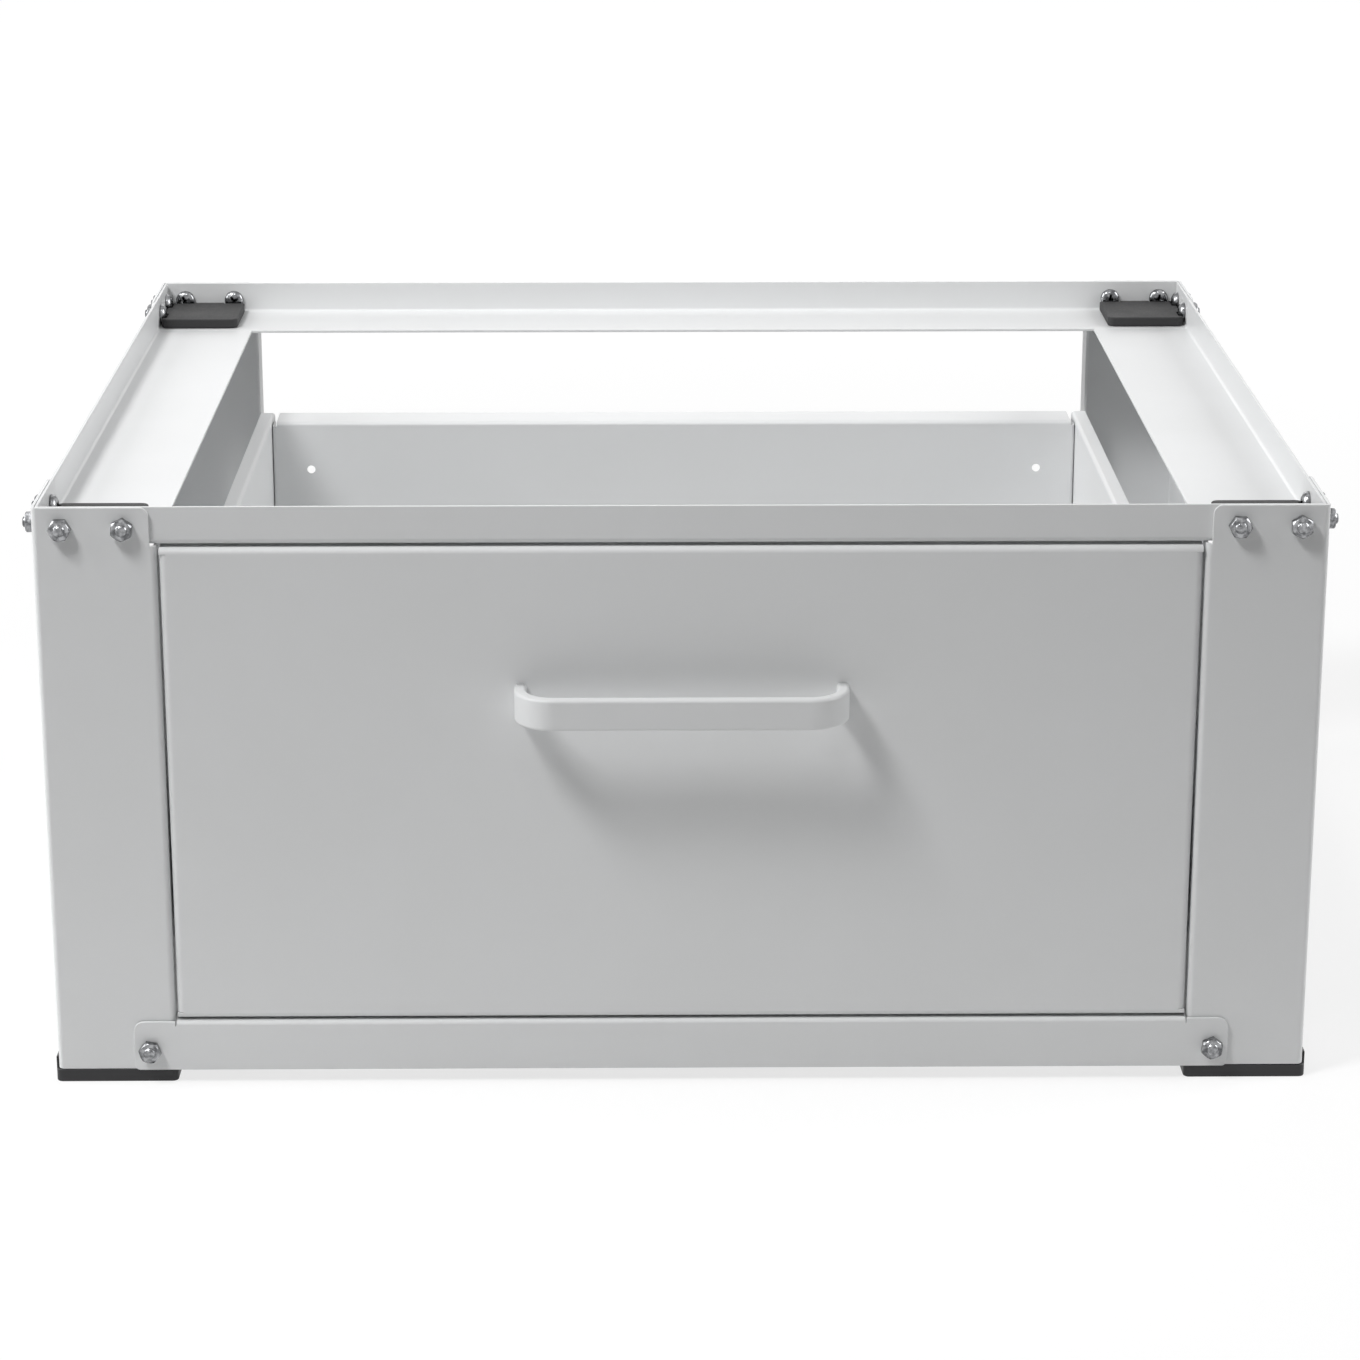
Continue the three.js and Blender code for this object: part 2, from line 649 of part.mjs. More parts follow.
const wallOuter = slideFace - slideThickness - seat;
const wallInner = wallOuter - drawerSheet;
const boxFront = outerFront + frontSheet + seat;
const boxBack = slideBack - slideTail;               // front face of the back wall
const sideBack = boxBack + backRim;                  // back end of the side walls
const halfSheet = drawerSheet / 2;
const flangeRise = drawerFloor - seat - halfSheet;   // middle of the flanges under the floor
const flangeEdge = wallOuter - floorFlange;
const floorRivetX = (flangeEdge + wallInner - drawerFold) / 2;
const floorRivetSpots = Array.from({ length: floorRivets },
  (_, i) => boxFront + (boxBack - boxFront) * ((i + 0.5) / floorRivets));
const foldDepth = drawerSheet + drawerFold;          // outside radius of a fold
const backRivetY = boxBack + (foldDepth + backFlange) / 2;
const backRivetLevels = [drawerFloor + backRivetRise, drawerTop - backRivetDrop];

// Side walls: a rim folded out at the top, a flange folded in under the floor, and a tab
// folded in at the front
for (const [sideName, side] of Object.entries(sides)) {
  const wall = side * (wallOuter - halfSheet);
  const frontY = boxFront + halfSheet;
  const run = alongY(foldedStrip([[side * (wallInner + sideRim), drawerTop - halfSheet],
    [wall, drawerTop - halfSheet], [wall, flangeRise], [side * flangeEdge, flangeRise]],
  drawerSheet, drawerFold), boxFront + foldDepth, sideBack);
  const tab = alongZ(foldedStrip([[side * (wallOuter - frontTab), frontY], [wall, frontY],
    [wall, sideBack]], drawerSheet, drawerFold),
  drawerFloor + drawerSheet + 2 * seat, drawerTop - foldDepth);
  const across = (y, z, radius) => rod([side * (wallOuter + 1), y, z],
    [side * (wallInner - 1), y, z], radius + holePlay);
  const holes = [
    ...slideScrewSpots.map((y) => across(y, slideMiddle, slideScrew.radius)),
    ...floorRivetSpots.map((y) => rod([side * floorRivetX, y, flangeRise + drawerSheet],
      [side * floorRivetX, y, flangeRise - drawerSheet], rivet.radius + holePlay)),
    ...backRivetLevels.map((z) => across(backRivetY, z, rivet.radius))];
  add(drawer, `drawer_side_${sideName}`, cut(join(run, tab), ...holes), paint);
}

// Back wall: a deep rim folded back at the top, a flange folded back along each side wall and
// one folded forward under the floor
{
  const reach = wallInner - seat;
  const wallY = boxBack + halfSheet;
  const flangeX = reach - halfSheet;
  const wallFoot = flangeRise - halfSheet + foldDepth;
  const run = alongX(foldedStrip([[boxBack + backRim, drawerTop - halfSheet],
    [wallY, drawerTop - halfSheet], [wallY, flangeRise], [boxBack - floorFlange, flangeRise]],
  drawerSheet, drawerFold), -reach + foldDepth, reach - foldDepth);
  const plan = foldedStrip([[-flangeX, boxBack + backFlange], [-flangeX, wallY],
    [flangeX, wallY], [flangeX, boxBack + backFlange]], drawerSheet, drawerFold);
  const flanges = alongZ(plan, wallFoot, drawerTop - foldDepth);
  const wastes = Object.values(sides).flatMap((side) => [
    block(side * (flangeEdge - seat), boxBack - floorFlange - 1, flangeRise - drawerSheet,
      side * reach, boxBack + foldDepth, wallFoot),
    rod([side * (wallInner - hangHoleInset), boxBack - 1, drawerTop - hangHoleDrop],
      [side * (wallInner - hangHoleInset), boxBack + foldDepth, drawerTop - hangHoleDrop],
      hangHole)]);
  const rivets = Object.values(sides).flatMap((side) => backRivetLevels.flatMap((z) => [
    rivetThrough(drawerSheet + 2 * seat, drawerSheet,
      [side * reach, backRivetY, z], [side, 0, 0]),
    rivetThrough(0, drawerSheet, [side * (reach - drawerSheet), backRivetY, z], [-side, 0, 0])]));
  add(drawer, 'drawer_back', join(cut(join(run, flanges), ...wastes), ...rivets), paint);
}

// Floor: a flat sheet on the flanges of the three walls, riveted to the sides
{
  const reach = wallInner - drawerFold;
  const sheet = block(-reach, boxFront + drawerSheet + seat, drawerFloor,
    reach, boxBack - drawerFold, drawerFloor + drawerSheet);
  const rivets = Object.values(sides).flatMap((side) => floorRivetSpots.map((y) => (
    rivetThrough(drawerSheet + 2 * seat, drawerSheet,
      [side * floorRivetX, y, drawerFloor], [0, 0, -1]))));
  add(drawer, 'drawer_floor', join(sheet, ...rivets), paint);
}

// ---------------------------------------------------------------- drawer front

const frontHalf = openingHalf - frontSideGap;
const frontFoot = tieTop + frontBottomGap;
const frontTop = trayUnderside - frontTopGap;
const handleRise = frontTop - handleDrop;
const handleFootX = (handleLength - handleThickness) / 2;

// A pan with its four edges folded back. The top and bottom folds run the full width and
// the side ones end between them, a slit away.
{
  const backY = outerFront + frontReturn;
  const outside = frontFold + frontSheet;
  const filled = (inset, back, radius) => {
    const [side, foot, top] = [frontHalf - inset, frontFoot + inset, frontTop - inset];
    const face = outerFront + inset;
    return alongX(roundedPlate(face, foot, back, top, [radius, 0, 0, radius]), -side, side)
      .intersect(alongZ(roundedPlate(-side, face, side, back, [radius, radius, 0, 0]), foot, top));
  };
  const pan = cut(filled(0, backY, outside), filled(frontSheet, backY + 1, frontFold));
  const slits = Object.values(sides).flatMap((side) => [
    frontFoot + frontSheet, frontTop - frontSheet - frontSlit].map((z) => (
    block(side * (frontHalf + 1), outerFront + outside, z,
      side * (frontHalf - frontSheet), backY + 1, z + frontSlit))));
  const holes = Object.values(sides).map((side) => rod(
    [side * handleFootX, outerFront - 1, handleRise],
    [side * handleFootX, outerFront + frontSheet + 1, handleRise],
    slideScrew.radius + holePlay));
  add(drawer, 'drawer_front', cut(pan, ...slits, ...holes), paint);
}

// ---------------------------------------------------------------- handle

// A flat bar bent to a bow, with both feet on the drawer's front
{
  const half = handleThickness / 2;
  const foot = outerFront - seat;
  const bow = outerFront - handleReach + half;
  const plan = foldedStrip([[-handleFootX, foot], [-handleFootX, bow], [handleFootX, bow],
    [handleFootX, foot]], handleThickness, handleCorner - handleThickness, handleSteps);
  const bar = new THREE.ExtrudeGeometry(plan, { depth: handleHeight - 2 * handleEdge,
    bevelSize: handleEdge, bevelThickness: handleEdge, bevelOffset: -handleEdge,
    bevelSegments: 2 });
  bar.translate(0, 0, handleRise - handleHeight / 2 + handleEdge);
  const holes = Object.values(sides).map((side) => rod(
    [side * handleFootX, outerFront + 1, handleRise],
    [side * handleFootX, foot - handleScrewDepth - 1, handleRise],
    slideScrew.radius + holePlay));
  add(drawer, 'handle', cut(solid(bar), ...holes), paint);
}

// Two screws from inside the drawer's front
for (const [sideName, side] of Object.entries(sides)) {
  const shank = -(frontSheet + 2 * seat + handleScrewDepth);
  add(drawer, `handle_screw_${sideName}`, turned([[0, shank], [slideScrew.radius, shank],
    [slideScrew.radius, 0], ...dome(slideScrew.head, 0, slideScrew.headHeight)],
  [side * handleFootX, outerFront + frontSheet + seat, handleRise], [0, 1, 0]), zinc);
}

// The handle reaches further forward than the tie bolts reach back, so the pedestal
// moves back by half the difference to stand centred on the origin.
const rearReach = 2 * seat + frameSheet + frameBolt.nut + frameBolt.tip;
pedestal.position.y = (handleReach - rearReach) / 2;

const object = new THREE.Group();
object.add(pedestal);
export default object;
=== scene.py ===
import math

import bmesh
import bpy
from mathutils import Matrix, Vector


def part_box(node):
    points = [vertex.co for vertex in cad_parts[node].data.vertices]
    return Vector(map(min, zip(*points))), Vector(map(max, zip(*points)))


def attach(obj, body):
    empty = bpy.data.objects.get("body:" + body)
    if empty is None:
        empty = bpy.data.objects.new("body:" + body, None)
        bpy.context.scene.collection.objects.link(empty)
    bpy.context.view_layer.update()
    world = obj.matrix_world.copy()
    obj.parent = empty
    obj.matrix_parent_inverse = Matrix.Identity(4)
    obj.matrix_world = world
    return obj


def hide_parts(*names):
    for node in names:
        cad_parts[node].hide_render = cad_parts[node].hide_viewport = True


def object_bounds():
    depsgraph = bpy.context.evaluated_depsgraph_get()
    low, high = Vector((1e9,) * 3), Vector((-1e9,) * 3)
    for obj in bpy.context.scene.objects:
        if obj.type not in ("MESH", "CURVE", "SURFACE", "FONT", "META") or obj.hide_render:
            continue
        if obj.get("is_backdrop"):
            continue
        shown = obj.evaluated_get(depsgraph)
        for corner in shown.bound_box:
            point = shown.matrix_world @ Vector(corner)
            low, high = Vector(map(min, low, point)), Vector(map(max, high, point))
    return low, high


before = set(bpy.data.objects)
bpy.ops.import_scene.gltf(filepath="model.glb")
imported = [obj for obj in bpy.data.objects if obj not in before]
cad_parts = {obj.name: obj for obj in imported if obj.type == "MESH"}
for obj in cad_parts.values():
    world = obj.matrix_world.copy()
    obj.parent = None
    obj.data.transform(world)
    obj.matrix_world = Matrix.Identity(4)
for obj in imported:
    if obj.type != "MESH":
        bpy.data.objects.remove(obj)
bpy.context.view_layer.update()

# ---------------------------------------------------------------- the photograph's view
# The pedestal stands on the floor and is seen from the front and from a little above,
# through a long lens, with its drawer shut.

mm = 0.001
front_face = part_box("post_front_left")[0].y
eye = Vector((-19 * mm, front_face - 1799 * mm, 775.5 * mm))
look_down = 0.3035          # radians under the horizon
look_right = 0.0101
focal_pixels = 3843.3       # focal length over the width of one pixel
picture_pixels = 1360

lens_data = bpy.data.cameras.new("photo_camera")
lens_data.sensor_width = 36.0
lens_data.lens = lens_data.sensor_width * focal_pixels / picture_pixels
camera = bpy.data.objects.new("photo_camera", lens_data)
camera.location = eye
camera.rotation_euler = (math.pi / 2 - look_down, 0.0, -look_right)
bpy.context.scene.collection.objects.link(camera)
bpy.context.scene.camera = camera
bpy.context.scene.view_settings.view_transform = "Standard"

# ---------------------------------------------------------------- studio floor and light
# A white board on a floor that sends less light back, a softbox at the upper left that the
# bolts' shadows point away from, weaker panels at both sides and behind, and a lamp with a
# grid, high in front, that reaches over the front rail into the drawer.


def place(tree, kind, inputs=None, **settings):
    """Adds a node: settings are its own properties, inputs its sockets' values or links."""
    made = tree.nodes.new(kind)
    for name, value in settings.items():
        setattr(made, name, value)
    for name, value in (inputs or {}).items():
        if isinstance(value, bpy.types.NodeSocket):
            tree.links.new(value, made.inputs[name])
        else:
            made.inputs[name].default_value = value
    return made


def maths(tree, kind, *values):
    """One value worked out from several, two at a time."""
    result = values[0]
    for value in values[1:]:
        result = place(tree, "ShaderNodeMath", {0: result, 1: value}, operation=kind).outputs[0]
    return result


def ranged(tree, value, low, high, start=0.0, end=1.0):
    """A value that runs from `start` to `end`, carried over to run from `low` to `high`."""
    return place(tree, "ShaderNodeMapRange", {"Value": value, "From Min": start, "From Max": end,
                 "To Min": low, "To Max": high}).outputs[0]


def noise(tree, where, scale, detail, roughness=0.5):
    """Noise of so many grains to a metre."""
    return place(tree, "ShaderNodeTexNoise", {"Vector": where, "Scale": scale, "Detail": detail,
                 "Roughness": roughness}).outputs["Fac"]


def seen_directly(tree):
    """1 for rays from the camera or off a mirror, 0 for those that light the object."""
    path = place(tree, "ShaderNodeLightPath").outputs
    return maths(tree, "MAXIMUM", path["Is Camera Ray"], path["Is Glossy Ray"],
                 path["Is Transmission Ray"])


even_light = 0.04           # what the white room adds to the lamps
world = bpy.data.worlds.new("studio")
world.use_nodes = True
tree = world.node_tree
tree.nodes.clear()
sky = place(tree, "ShaderNodeBackground", {"Color": (1.0, 1.0, 1.0, 1.0),
            "Strength": ranged(tree, seen_directly(tree), even_light, 1.0)})
place(tree, "ShaderNodeOutputWorld", {"Surface": sky.outputs[0]})
bpy.context.scene.world = world

floor_reach = 9.0
board_edge = 0.7            # where the white board ends that the pedestal stands on, and where
floor_start = 1.4           # the darker floor has taken over
board_tone, floor_tone = 0.86, 0.20
shown_tone = 0.26           # how much of the light on it either shows
worn_tone = 0.004           # and how far that changes with wear
near_white, far_white = 0.75, 0.97      # white shown on top of that, near by and far away
white_reach = 2.6

floor_finish = bpy.data.materials.new("studio_floor")
floor_finish.use_nodes = True
tree = floor_finish.node_tree
tree.nodes.clear()
spot = place(tree, "ShaderNodeTexCoord").outputs["Object"]
away = place(tree, "ShaderNodeVectorMath", {0: spot}, operation="LENGTH").outputs["Value"]
wear = noise(tree, spot, scale=3.0, detail=2.0)
sent = ranged(tree, away, board_tone, floor_tone, board_edge, floor_start)
shown = ranged(tree, wear, shown_tone - worn_tone, shown_tone + worn_tone)
white = ranged(tree, away, near_white, far_white, board_edge, white_reach)
seen = seen_directly(tree)
matt = place(tree, "ShaderNodeBsdfDiffuse", {"Color": ranged(tree, seen, sent, shown)})
glow = place(tree, "ShaderNodeEmission", {"Strength": maths(tree, "MULTIPLY", seen, white)})
both = place(tree, "ShaderNodeAddShader", {0: matt.outputs[0], 1: glow.outputs[0]})
place(tree, "ShaderNodeOutputMaterial", {"Surface": both.outputs[0]})

floor_mesh = bpy.data.meshes.new("studio_floor")
floor_mesh.from_pydata([(-floor_reach, -floor_reach, 0.0), (floor_reach, -floor_reach, 0.0),
                        (floor_reach, floor_reach, 0.0), (-floor_reach, floor_reach, 0.0)],
                       [], [(0, 1, 2, 3)])
floor_mesh.materials.append(floor_finish)
floor = bpy.data.objects.new("studio_floor", floor_mesh)
bpy.context.scene.collection.objects.link(floor)
floor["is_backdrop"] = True


def softbox(name, spot, aim, size, watts, spread=180):
    """A square lamp at `spot` that faces `aim`. A grid narrows its light to `spread` degrees."""
    data = bpy.data.lights.new(name, "AREA")
    data.size = size
    data.energy = watts
    data.spread = math.radians(spread)
    lamp = bpy.data.objects.new(name, data)
    lamp.location = spot
    lamp.rotation_euler = (Vector(aim) - Vector(spot)).to_track_quat("-Z", "Y").to_euler()
    bpy.context.scene.collection.objects.link(lamp)


softbox("key_softbox", (-1.30, -1.15, 2.42), (0.0, -0.27, 0.2), size=0.6, watts=45.5)
softbox("drawer_lamp", (0.0, -1.2, 2.2), (0.0, 0.22, 0.2), size=0.5, watts=0.18, spread=20)
softbox("left_panel", (-2.2, 0.0, 1.3), (0.0, 0.0, 0.2), size=1.4, watts=31.0)
softbox("right_panel", (2.2, 0.0, 1.3), (0.0, 0.0, 0.2), size=1.4, watts=34.4)
softbox("back_panel", (0.0, 2.2, 1.3), (0.0, 0.0, 0.2), size=1.4, watts=5.0)

# ---------------------------------------------------------------- corner posts
# Four posts carry the pedestal. Each is cut flat from 1.5 mm steel, pressed to a J in
# plan and powder coated: one flange to the side, one to the front or back, one inwards.

post_sheet = 1.5 * mm
post_fold = 1.5 * mm        # inside radius
post_return = 22 * mm
post_corner = 4.5 * mm
tray_lip = 19 * mm
coat_edge = 0.3 * mm        # how far the coat rounds a cut edge
relief = 0.4 * mm           # cut back beside a fold
seat = 0.3 * mm             # left free between pieces that touch
fold_steps = 8
edge_steps = 3

sides = {"left": -1, "right": 1}
ends = {"front": -1, "back": 1}
corners = [(f"{end}_{side}", sides[side], ends[end]) for end in ends for side in sides]


def unit(angle):
    return Vector((math.cos(angle), math.sin(angle)))


def left_of(angle):
    return Vector((-math.sin(angle), math.cos(angle)))


def fold_line(points, bend):
    """The middle of a sheet seen edge on, as runs of (start, heading, length, turn). `bend` is
    the radius of its middle on each fold."""
    spots = [Vector(point) for point in points]
    headings = [math.atan2(b.y - a.y, b.x - a.x) for a, b in zip(spots, spots[1:])]
    runs = []
    start = spots[0]
    for i, heading in enumerate(headings):
        turn = 0.0
        if i + 1 < len(headings):
            turn = (headings[i + 1] - heading + math.pi) % math.tau - math.pi
        back = bend * math.tan(abs(turn) / 2)
        end = spots[i + 1] - back * unit(heading)
        runs.append((start, heading, (end - start).length, 0.0))
        if turn:
            runs.append((end, heading, bend * abs(turn), turn))
        start = spots[i + 1] + back * unit(heading + turn)
    return runs


def starts(runs):
    """How far along the flat sheet each run starts, and where the last one ends."""
    marks = [0.0]
    for run in runs:
        marks.append(marks[-1] + run[2])
    return marks


def on_run(run, reach):
    """The point at `reach` along a run, and the heading there."""
    start, heading, length, turn = run
    if not turn:
        return start + reach * unit(heading), heading
    radius = length / turn
    there = heading + turn * reach / length
    return start + radius * (left_of(heading) - left_of(there)), there


def flat_of(runs, point):
    """Where a point of the folded sheet lies along the flat one."""
    found = []
    for mark, (start, heading, length, turn) in zip(starts(runs), runs):
        if not turn:
            away = Vector(point) - start
            reach = min(max(away.dot(unit(heading)), 0.0), length)
            found.append(((away - reach * unit(heading)).length, mark + reach))
    return min(found)[1]


def rounded(points):
    """An outline from (a, b) or (a, b, radius) corners."""
    steps = 6
    outline = []
    for i, corner in enumerate(points):
        here = Vector(corner[:2])
        radius = corner[2] if len(corner) > 2 else 0.0
        if not radius:
            outline.append(here)
            continue
        before = (Vector(points[i - 1][:2]) - here).normalized()
        after = (Vector(points[(i + 1) % len(points)][:2]) - here).normalized()
        opening = before.angle(after)
        reach = radius / math.tan(opening / 2)
        middle = here + (before + after).normalized() * (radius / math.sin(opening / 2))
        first = here + before * reach - middle
        last = here + after * reach - middle
        sweep = first.angle_signed(last)
        for step in range(steps + 1):
            turn = -sweep * step / steps
            outline.append(middle + Vector((first.x * math.cos(turn) - first.y * math.sin(turn),
                                            first.x * math.sin(turn) + first.y * math.cos(turn))))
    return outline


def oblong(a, b, far_a, far_b, radius=0.0):
    return rounded([(a, b, radius), (far_a, b, radius), (far_a, far_b, radius), (a, far_b, radius)])


def round_hole(a, b, radius, steps=20):
    """A hole's outline, turned the other way round from the sheet's own."""
    return [Vector((a, b)) + radius * unit(-math.tau * i / steps) for i in range(steps)]


def moved_in(loop, distance):
    """An outline with each edge moved into the material on its left."""
    if distance == 0.0:
        return list(loop)
    least_share = 0.3       # keeps a sharp corner from running far out
    moved = []
    for i, here in enumerate(loop):
        into = (here - loop[i - 1]).normalized()
        out = (loop[(i + 1) % len(loop)] - here).normalized()
        normal = (Vector((-into.y, into.x)) + Vector((-out.y, out.x))).normalized()
        share = max(normal.dot(Vector((-into.y, into.x))), least_share)
        moved.append(here + normal * (distance / share))
    return moved


def cut_sheet(outline, holes, sheet, edge=coat_edge, steps=edge_steps):
    """A flat sheet cut to an outline and holes, lying round z = 0, with its edges rounded."""
    area = sum(a.x * b.y - b.x * a.y for a, b in zip(outline, outline[1:] + outline[:1]))
    loops = [outline if area > 0 else outline[::-1], *holes]
    quarter = [math.pi / 2 * i / steps for i in range(steps + 1)]
    low = [(edge * (1 - math.sin(a)), -sheet / 2 + edge * (1 - math.cos(a))) for a in quarter]
    rings = low + [(inset, -height) for inset, height in reversed(low)]
    made = bmesh.new()
    caps = ([], [])
    for loop in loops:
        rows = []
        for inset, height in rings:
            rows.append([made.verts.new((*point, height)) for point in moved_in(loop, inset)])
        for lower, upper in zip(rows, rows[1:]):
            for i in range(len(loop)):
                made.faces.new((lower[i - 1], lower[i], upper[i], upper[i - 1]))
        for cap, row in zip(caps, (rows[0], rows[-1])):
            cap.extend(made.edges.get((row[i - 1], row[i])) for i in range(len(row)))
    for cap in caps:
        bmesh.ops.triangle_fill(made, edges=cap, use_beauty=True)
    bmesh.ops.recalc_face_normals(made, faces=made.faces)
    return made


def longest(runs):
    return max((run[2], i) for i, run in enumerate(runs) if not run[3])[1]


def pressed(made, stand, across, along=None, folds=None, base=None, steps=fold_steps):
    """Folds a flat sheet. Its first axis follows the runs `across` and its second, inside the
    base run, the runs `along`. `stand` turns (across, off, along) into a place in the frame.
    `folds` says where on the flat sheet the runs across are folded at all."""
    lines = [(0, across), (1, along or [])]
    for axis, runs in lines:
        for mark, run in zip(starts(runs), runs):
            if not run[3]:
                continue
            for step in range(steps + 1):
                spot, normal = [0.0, 0.0, 0.0], [0.0, 0.0, 0.0]
                spot[axis] = mark + run[2] * step / steps
                normal[axis] = 1.0
                bmesh.ops.bisect_plane(made, geom=made.verts[:] + made.edges[:] + made.faces[:],
                                       dist=1e-7, plane_co=spot, plane_no=normal)
    level = longest(across) if base is None else base

    def folded(runs, reach, lift, flat_run=None):
        marks = starts(runs)
        i = flat_run
        if i is None:
            i = next((n for n in range(len(runs)) if reach <= marks[n + 1]), len(runs) - 1)
        spot, heading = on_run(runs[i], reach - marks[i])
        return spot + lift * left_of(heading)

    marks = starts(across)
    slack = 0.001 * mm
    for vert in made.verts:
        a, b, lift = vert.co
        straight = folds is not None and not folds(a, b)
        first = folded(across, a, lift, level if straight else None)
        if along:
            in_base = marks[level] - slack <= a <= marks[level + 1] + slack
            second = folded(along, b, lift, None if in_base else longest(along))
            off = first.y + second.y - (across[level][0].y + lift)
            vert.co = stand(first.x, off, second.x)
        else:
            vert.co = stand(first.x, first.y, b)
    bmesh.ops.recalc_face_normals(made, faces=made.faces)
    return made


def ready(thing, body, nodes):
    """A piece goes into the scene, rides on a body and stands for CAD nodes."""
    bpy.context.scene.collection.objects.link(thing)
    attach(thing, body)
    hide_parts(*nodes)


def piece(name, made, finish, body, slot, *nodes):
    """A finished piece from a mesh in the making."""
    mesh = bpy.data.meshes.new(name)
    made.to_mesh(mesh)
    made.free()
    mesh.materials.append(finish)
    mesh.polygons.foreach_set("use_smooth", [True] * len(mesh.polygons))
    thing = bpy.data.objects.new(name, mesh)
    shading = thing.modifiers.new("flat_faces_lead", "WEIGHTED_NORMAL")
    shading.weight = 100
    ready(thing, body, nodes)


def effect(name, inputs, outputs, kind="ShaderNodeTree"):
    """An empty node group with named sockets: the group, its input and output nodes."""
    group = bpy.data.node_groups.new(name, kind)
    kinds = {"Place": "NodeSocketVector", "Points": "NodeSocketGeometry",
             "Finish": "NodeSocketMaterial", "Geometry": "NodeSocketGeometry"}
    for way, labels in (("INPUT", inputs), ("OUTPUT", outputs)):
        for label, value in labels.items():
            made = group.interface.new_socket(name=label, in_out=way,
                                              socket_type=kinds.get(label, "NodeSocketFloat"))
            if value is not None:
                made.default_value = value
    return group, group.nodes.new("NodeGroupInput").outputs, group.nodes.new("NodeGroupOutput")


def textured(name, sizes):
    """An empty shader group for a surface: it gives the height of its grain and a slow cloud."""
    return effect(name, {"Place": None, **sizes}, {"Height": None, "Cloud": None})


def per(group, size):
    return maths(group, "DIVIDE", 1.0, size)


# The skin of a cured powder: soft orange peel with finer grains, and slow changes of gloss
orange_peel, given, out = textured("orange_peel", {"Peel": 2.2 * mm, "Grain": 0.5 * mm})
grain_height = 0.3          # of the finer grains, in heights of the peel
peel = noise(orange_peel, given["Place"], per(orange_peel, given["Peel"]), detail=1.0)
grain = noise(orange_peel, given["Place"], per(orange_peel, given["Grain"]), detail=2.0)
height = maths(orange_peel, "ADD", peel, ranged(orange_peel, grain, 0.0, grain_height))
cloud = noise(orange_peel, given["Place"], scale=9.0, detail=3.0, roughness=0.6)
orange_peel.links.new(height, out.inputs["Height"])
orange_peel.links.new(cloud, out.inputs["Cloud"])

# Fine specks of dust and lint that lie on what faces up
settled_dust, given, out = effect("settled_dust", {"Place": None, "Amount": 0.3,
                                                   "Speck": 1.2 * mm}, {"Dust": None})
normal = place(settled_dust, "ShaderNodeNewGeometry").outputs["Normal"]
facing = place(settled_dust, "ShaderNodeSeparateXYZ", {0: normal}).outputs["Z"]
upward = ranged(settled_dust, facing, 0.0, 1.0, start=0.4, end=1.0)
speck = noise(settled_dust, given["Place"], per(settled_dust, given["Speck"]), detail=4.0,
              roughness=0.7)
few = ranged(settled_dust, speck, 0.0, 1.0, start=0.5, end=0.85)
settled_dust.links.new(maths(settled_dust, "MULTIPLY", upward, few, given["Amount"]),
                       out.inputs["Dust"])


def new_finish(name, **constants):
    """A material with a Principled shader: constants go on its own sockets."""
    material = bpy.data.materials.new(name)
    material.use_nodes = True
    shader = material.node_tree.nodes["Principled BSDF"]
    for label, value in constants.items():
        shader.inputs[label.replace("_", " ")].default_value = value
    spot = place(material.node_tree, "ShaderNodeTexCoord").outputs["Object"]
    return material, material.node_tree, shader, spot


def shade(code):
    """A colour written as six hexadecimal digits, in linear light."""
    parts = [int(code[i:i + 2], 16) / 255 for i in (0, 2, 4)]
    return (*[p / 12.92 if p <= 0.04045 else ((p + 0.055) / 1.055) ** 2.4 for p in parts], 1.0)


def blended(tree, share, first, second):
    """A colour between two, as a share that changes over the surface says."""
    return place(tree, "ShaderNodeMix", {0: share, 6: first, 7: second},
                 data_type="RGBA").outputs[2]


def grained(tree, shader, skin, rough, depth):
    """Gloss that changes with the skin's cloud, and relief from its height."""
    usual = (0.25, 0.75)    # where a cloud's values mostly lie
    tree.links.new(ranged(tree, skin["Cloud"], *rough, *usual), shader.inputs["Roughness"])
    bump = place(tree, "ShaderNodeBump", {"Strength": 1.0, "Distance": depth,
                 "Height": skin["Height"]})
    tree.links.new(bump.outputs[0], shader.inputs["Normal"])


def dusty(tree, spot, colour, dust_colour, amount):
    """A colour with dust lying on it."""
    film = place(tree, "ShaderNodeGroup", {"Place": spot, "Amount": amount}, node_tree=settled_dust)
    return blended(tree, film.outputs["Dust"], colour, shade(dust_colour))


powder_coat, tree, shader, spot = new_finish("powder_coat", Metallic=0.0, IOR=1.5)
skin = place(tree, "ShaderNodeGroup", {"Place": spot}, node_tree=orange_peel).outputs
coat = blended(tree, skin["Cloud"], shade("e3e4e5"), shade("dfe0e0"))
tree.links.new(dusty(tree, spot, coat, "c9c6c0", 0.10), shader.inputs["Base Color"])
grained(tree, shader, skin, (0.36, 0.44), 0.012 * mm)

post_bend = post_fold + post_sheet / 2      # radius of the sheet's middle, as for every bend
post_low, post_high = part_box("post_front_left")
post_foot, frame_top = post_low.z, post_high.z
outer_side = -post_low.x
opening_half = -post_high.x
middle_y = (post_low.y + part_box("post_back_left")[1].y) / 2
outer_end = middle_y - post_low.y
post_flange = post_high.y - post_low.y
tray_underside = frame_top - tray_lip

